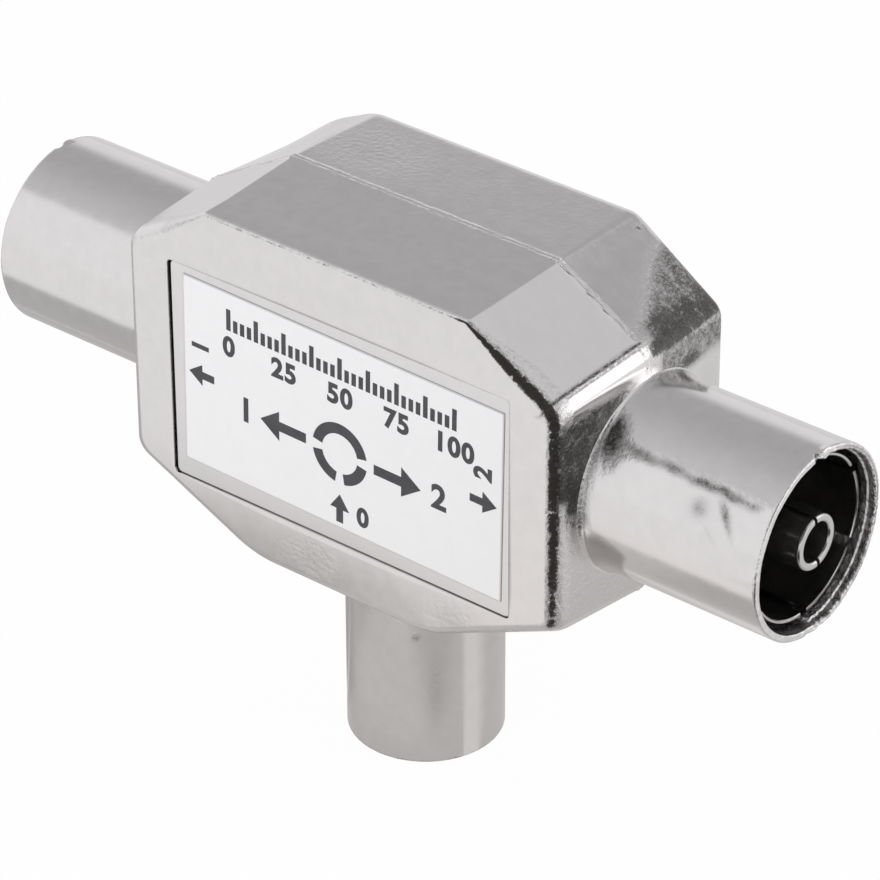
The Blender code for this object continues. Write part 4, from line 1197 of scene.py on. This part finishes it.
# %% World
def tent(tree):
    """Brightness of the tent in a direction: wall, ceiling, and the gap for the camera."""
    ray = put(tree, "ShaderNodeTexCoord", out="Generated")
    x, y, z = x_y_z(ray)
    forward = y.remap(0.6, -0.5)
    eaves = forward.remap(0.0, 1.0, 0.375, 0.70, "LINEAR")
    soft_edge = forward.remap(0.0, 1.0, 0.13, 0.03, "LINEAR")
    ceiling = ((z - eaves) / soft_edge).remap(-1.0, 1.0)
    overhead = x.remap(-0.15, 0.2) * z.remap(0.655, 0.735)
    roof = 0.52 + y.remap(0.5, -0.6) * 0.22 + overhead * 0.27
    wall = 1.03 + x.remap(0.4, 0.8) * 0.3 - y.remap(0.3, 0.8) * 0.12
    light = roof * ceiling + wall * (1.0 - ceiling)
    flat = put(tree, "ShaderNodeVectorMath", ray, (1.0, 1.0, 0.0), operation="MULTIPLY")
    flat = put(tree, "ShaderNodeVectorMath", flat, operation="NORMALIZE")
    camera_way = (CAMERA_SIDE, -CAMERA_FRONT, 0.0)
    toward = put(tree, "ShaderNodeVectorMath", flat, camera_way, operation="DOT_PRODUCT", out="Value")
    ahead = toward.remap(0.80, 0.93)
    gap = ahead * (z.remap(0.08, 0.24) * z.remap(0.97, 0.90))
    window = ahead * z.remap(0.20, 0.06) * 0.45
    return (light + window) * (1.0 - gap * 0.92)


world = bpy.data.worlds.new("light_tent")
bpy.context.scene.world = world
world.use_nodes = True
sky = world.node_tree
inside = put(sky, "ShaderNodeBackground", WHITE, tent(sky))
plain = put(sky, "ShaderNodeBackground", WHITE, 1.0)
camera_ray = put(sky, "ShaderNodeLightPath", out="Is Camera Ray")
feed(sky.nodes["World Output"].inputs[0], put(sky, "ShaderNodeMixShader", camera_ray, inside, plain))

# %% [markdown]
# Two soft lamps give the light a direction. The key stands to the right and behind, and draws
# the white line along the slope's edge. The front lamp lifts what isn't metal, the label and
# the floor, to a plain level. It doesn't show in reflections, where the tent is already right.

# %% Lamps
def soft_lamp(name, place, size, power):
    """A square area lamp that faces the part."""
    lamp = bpy.data.lights.new(name, "AREA")
    lamp.shape = "SQUARE"
    lamp.size = size * MM
    lamp.energy = power
    item = put_in_scene(name, lamp)
    item.location = Vector(place) * MM
    item.rotation_euler = (Vector((0, 0, PORT_Z)) - Vector(place)).to_track_quat("-Z", "Y").to_euler()
    return item


soft_lamp("key_lamp", (330.0, 330.0, 150.0), 290.0, 0.32)
front_lamp = soft_lamp("front_lamp", (60.0, -430.0, 260.0), 420.0, 0.75)
front_lamp.visible_glossy = False

# %% [markdown]
# The camera stands where the photograph was taken from: 39 degrees to the right of the front,
# 32 degrees above the horizon, 277 mm from the part, with a long lens. Its angles, distance,
# aim and lens were worked out beforehand from the block's straight edges.

# %% Camera
AZIMUTH, ELEVATION, ROLL = (math.radians(angle) for angle in (39.016, 32.217, -0.220))
DISTANCE, AIM = 276.915, (1.15, 0.0, 20.13)
FOCAL_PIXELS, FRAME_PIXELS, SENSOR = 4784.172, 880, 36.0
level_away = Vector((math.sin(AZIMUTH), -math.cos(AZIMUTH), 0.0))
away = level_away * math.cos(ELEVATION) + Vector((0, 0, math.sin(ELEVATION)))
level = Vector((math.cos(AZIMUTH), math.sin(AZIMUTH), 0.0))
upright = away.cross(level)
across = level * math.cos(ROLL) + upright * math.sin(ROLL)
up = upright * math.cos(ROLL) - level * math.sin(ROLL)
camera_data = bpy.data.cameras.new("camera")
camera_data.sensor_width = SENSOR
camera_data.lens = FOCAL_PIXELS / FRAME_PIXELS * SENSOR
camera_data.clip_start, camera_data.clip_end = 0.01, 10.0
camera = put_in_scene("camera", camera_data)
turn = Matrix((across, up, away)).transposed().to_4x4()
camera.matrix_world = Matrix.Translation((Vector(AIM) + away * DISTANCE) * MM) @ turn

bpy.context.scene.camera = camera
bpy.context.scene.view_settings.view_transform = "Standard"
print("camera at", [round(part / MM, 1) for part in camera.location])
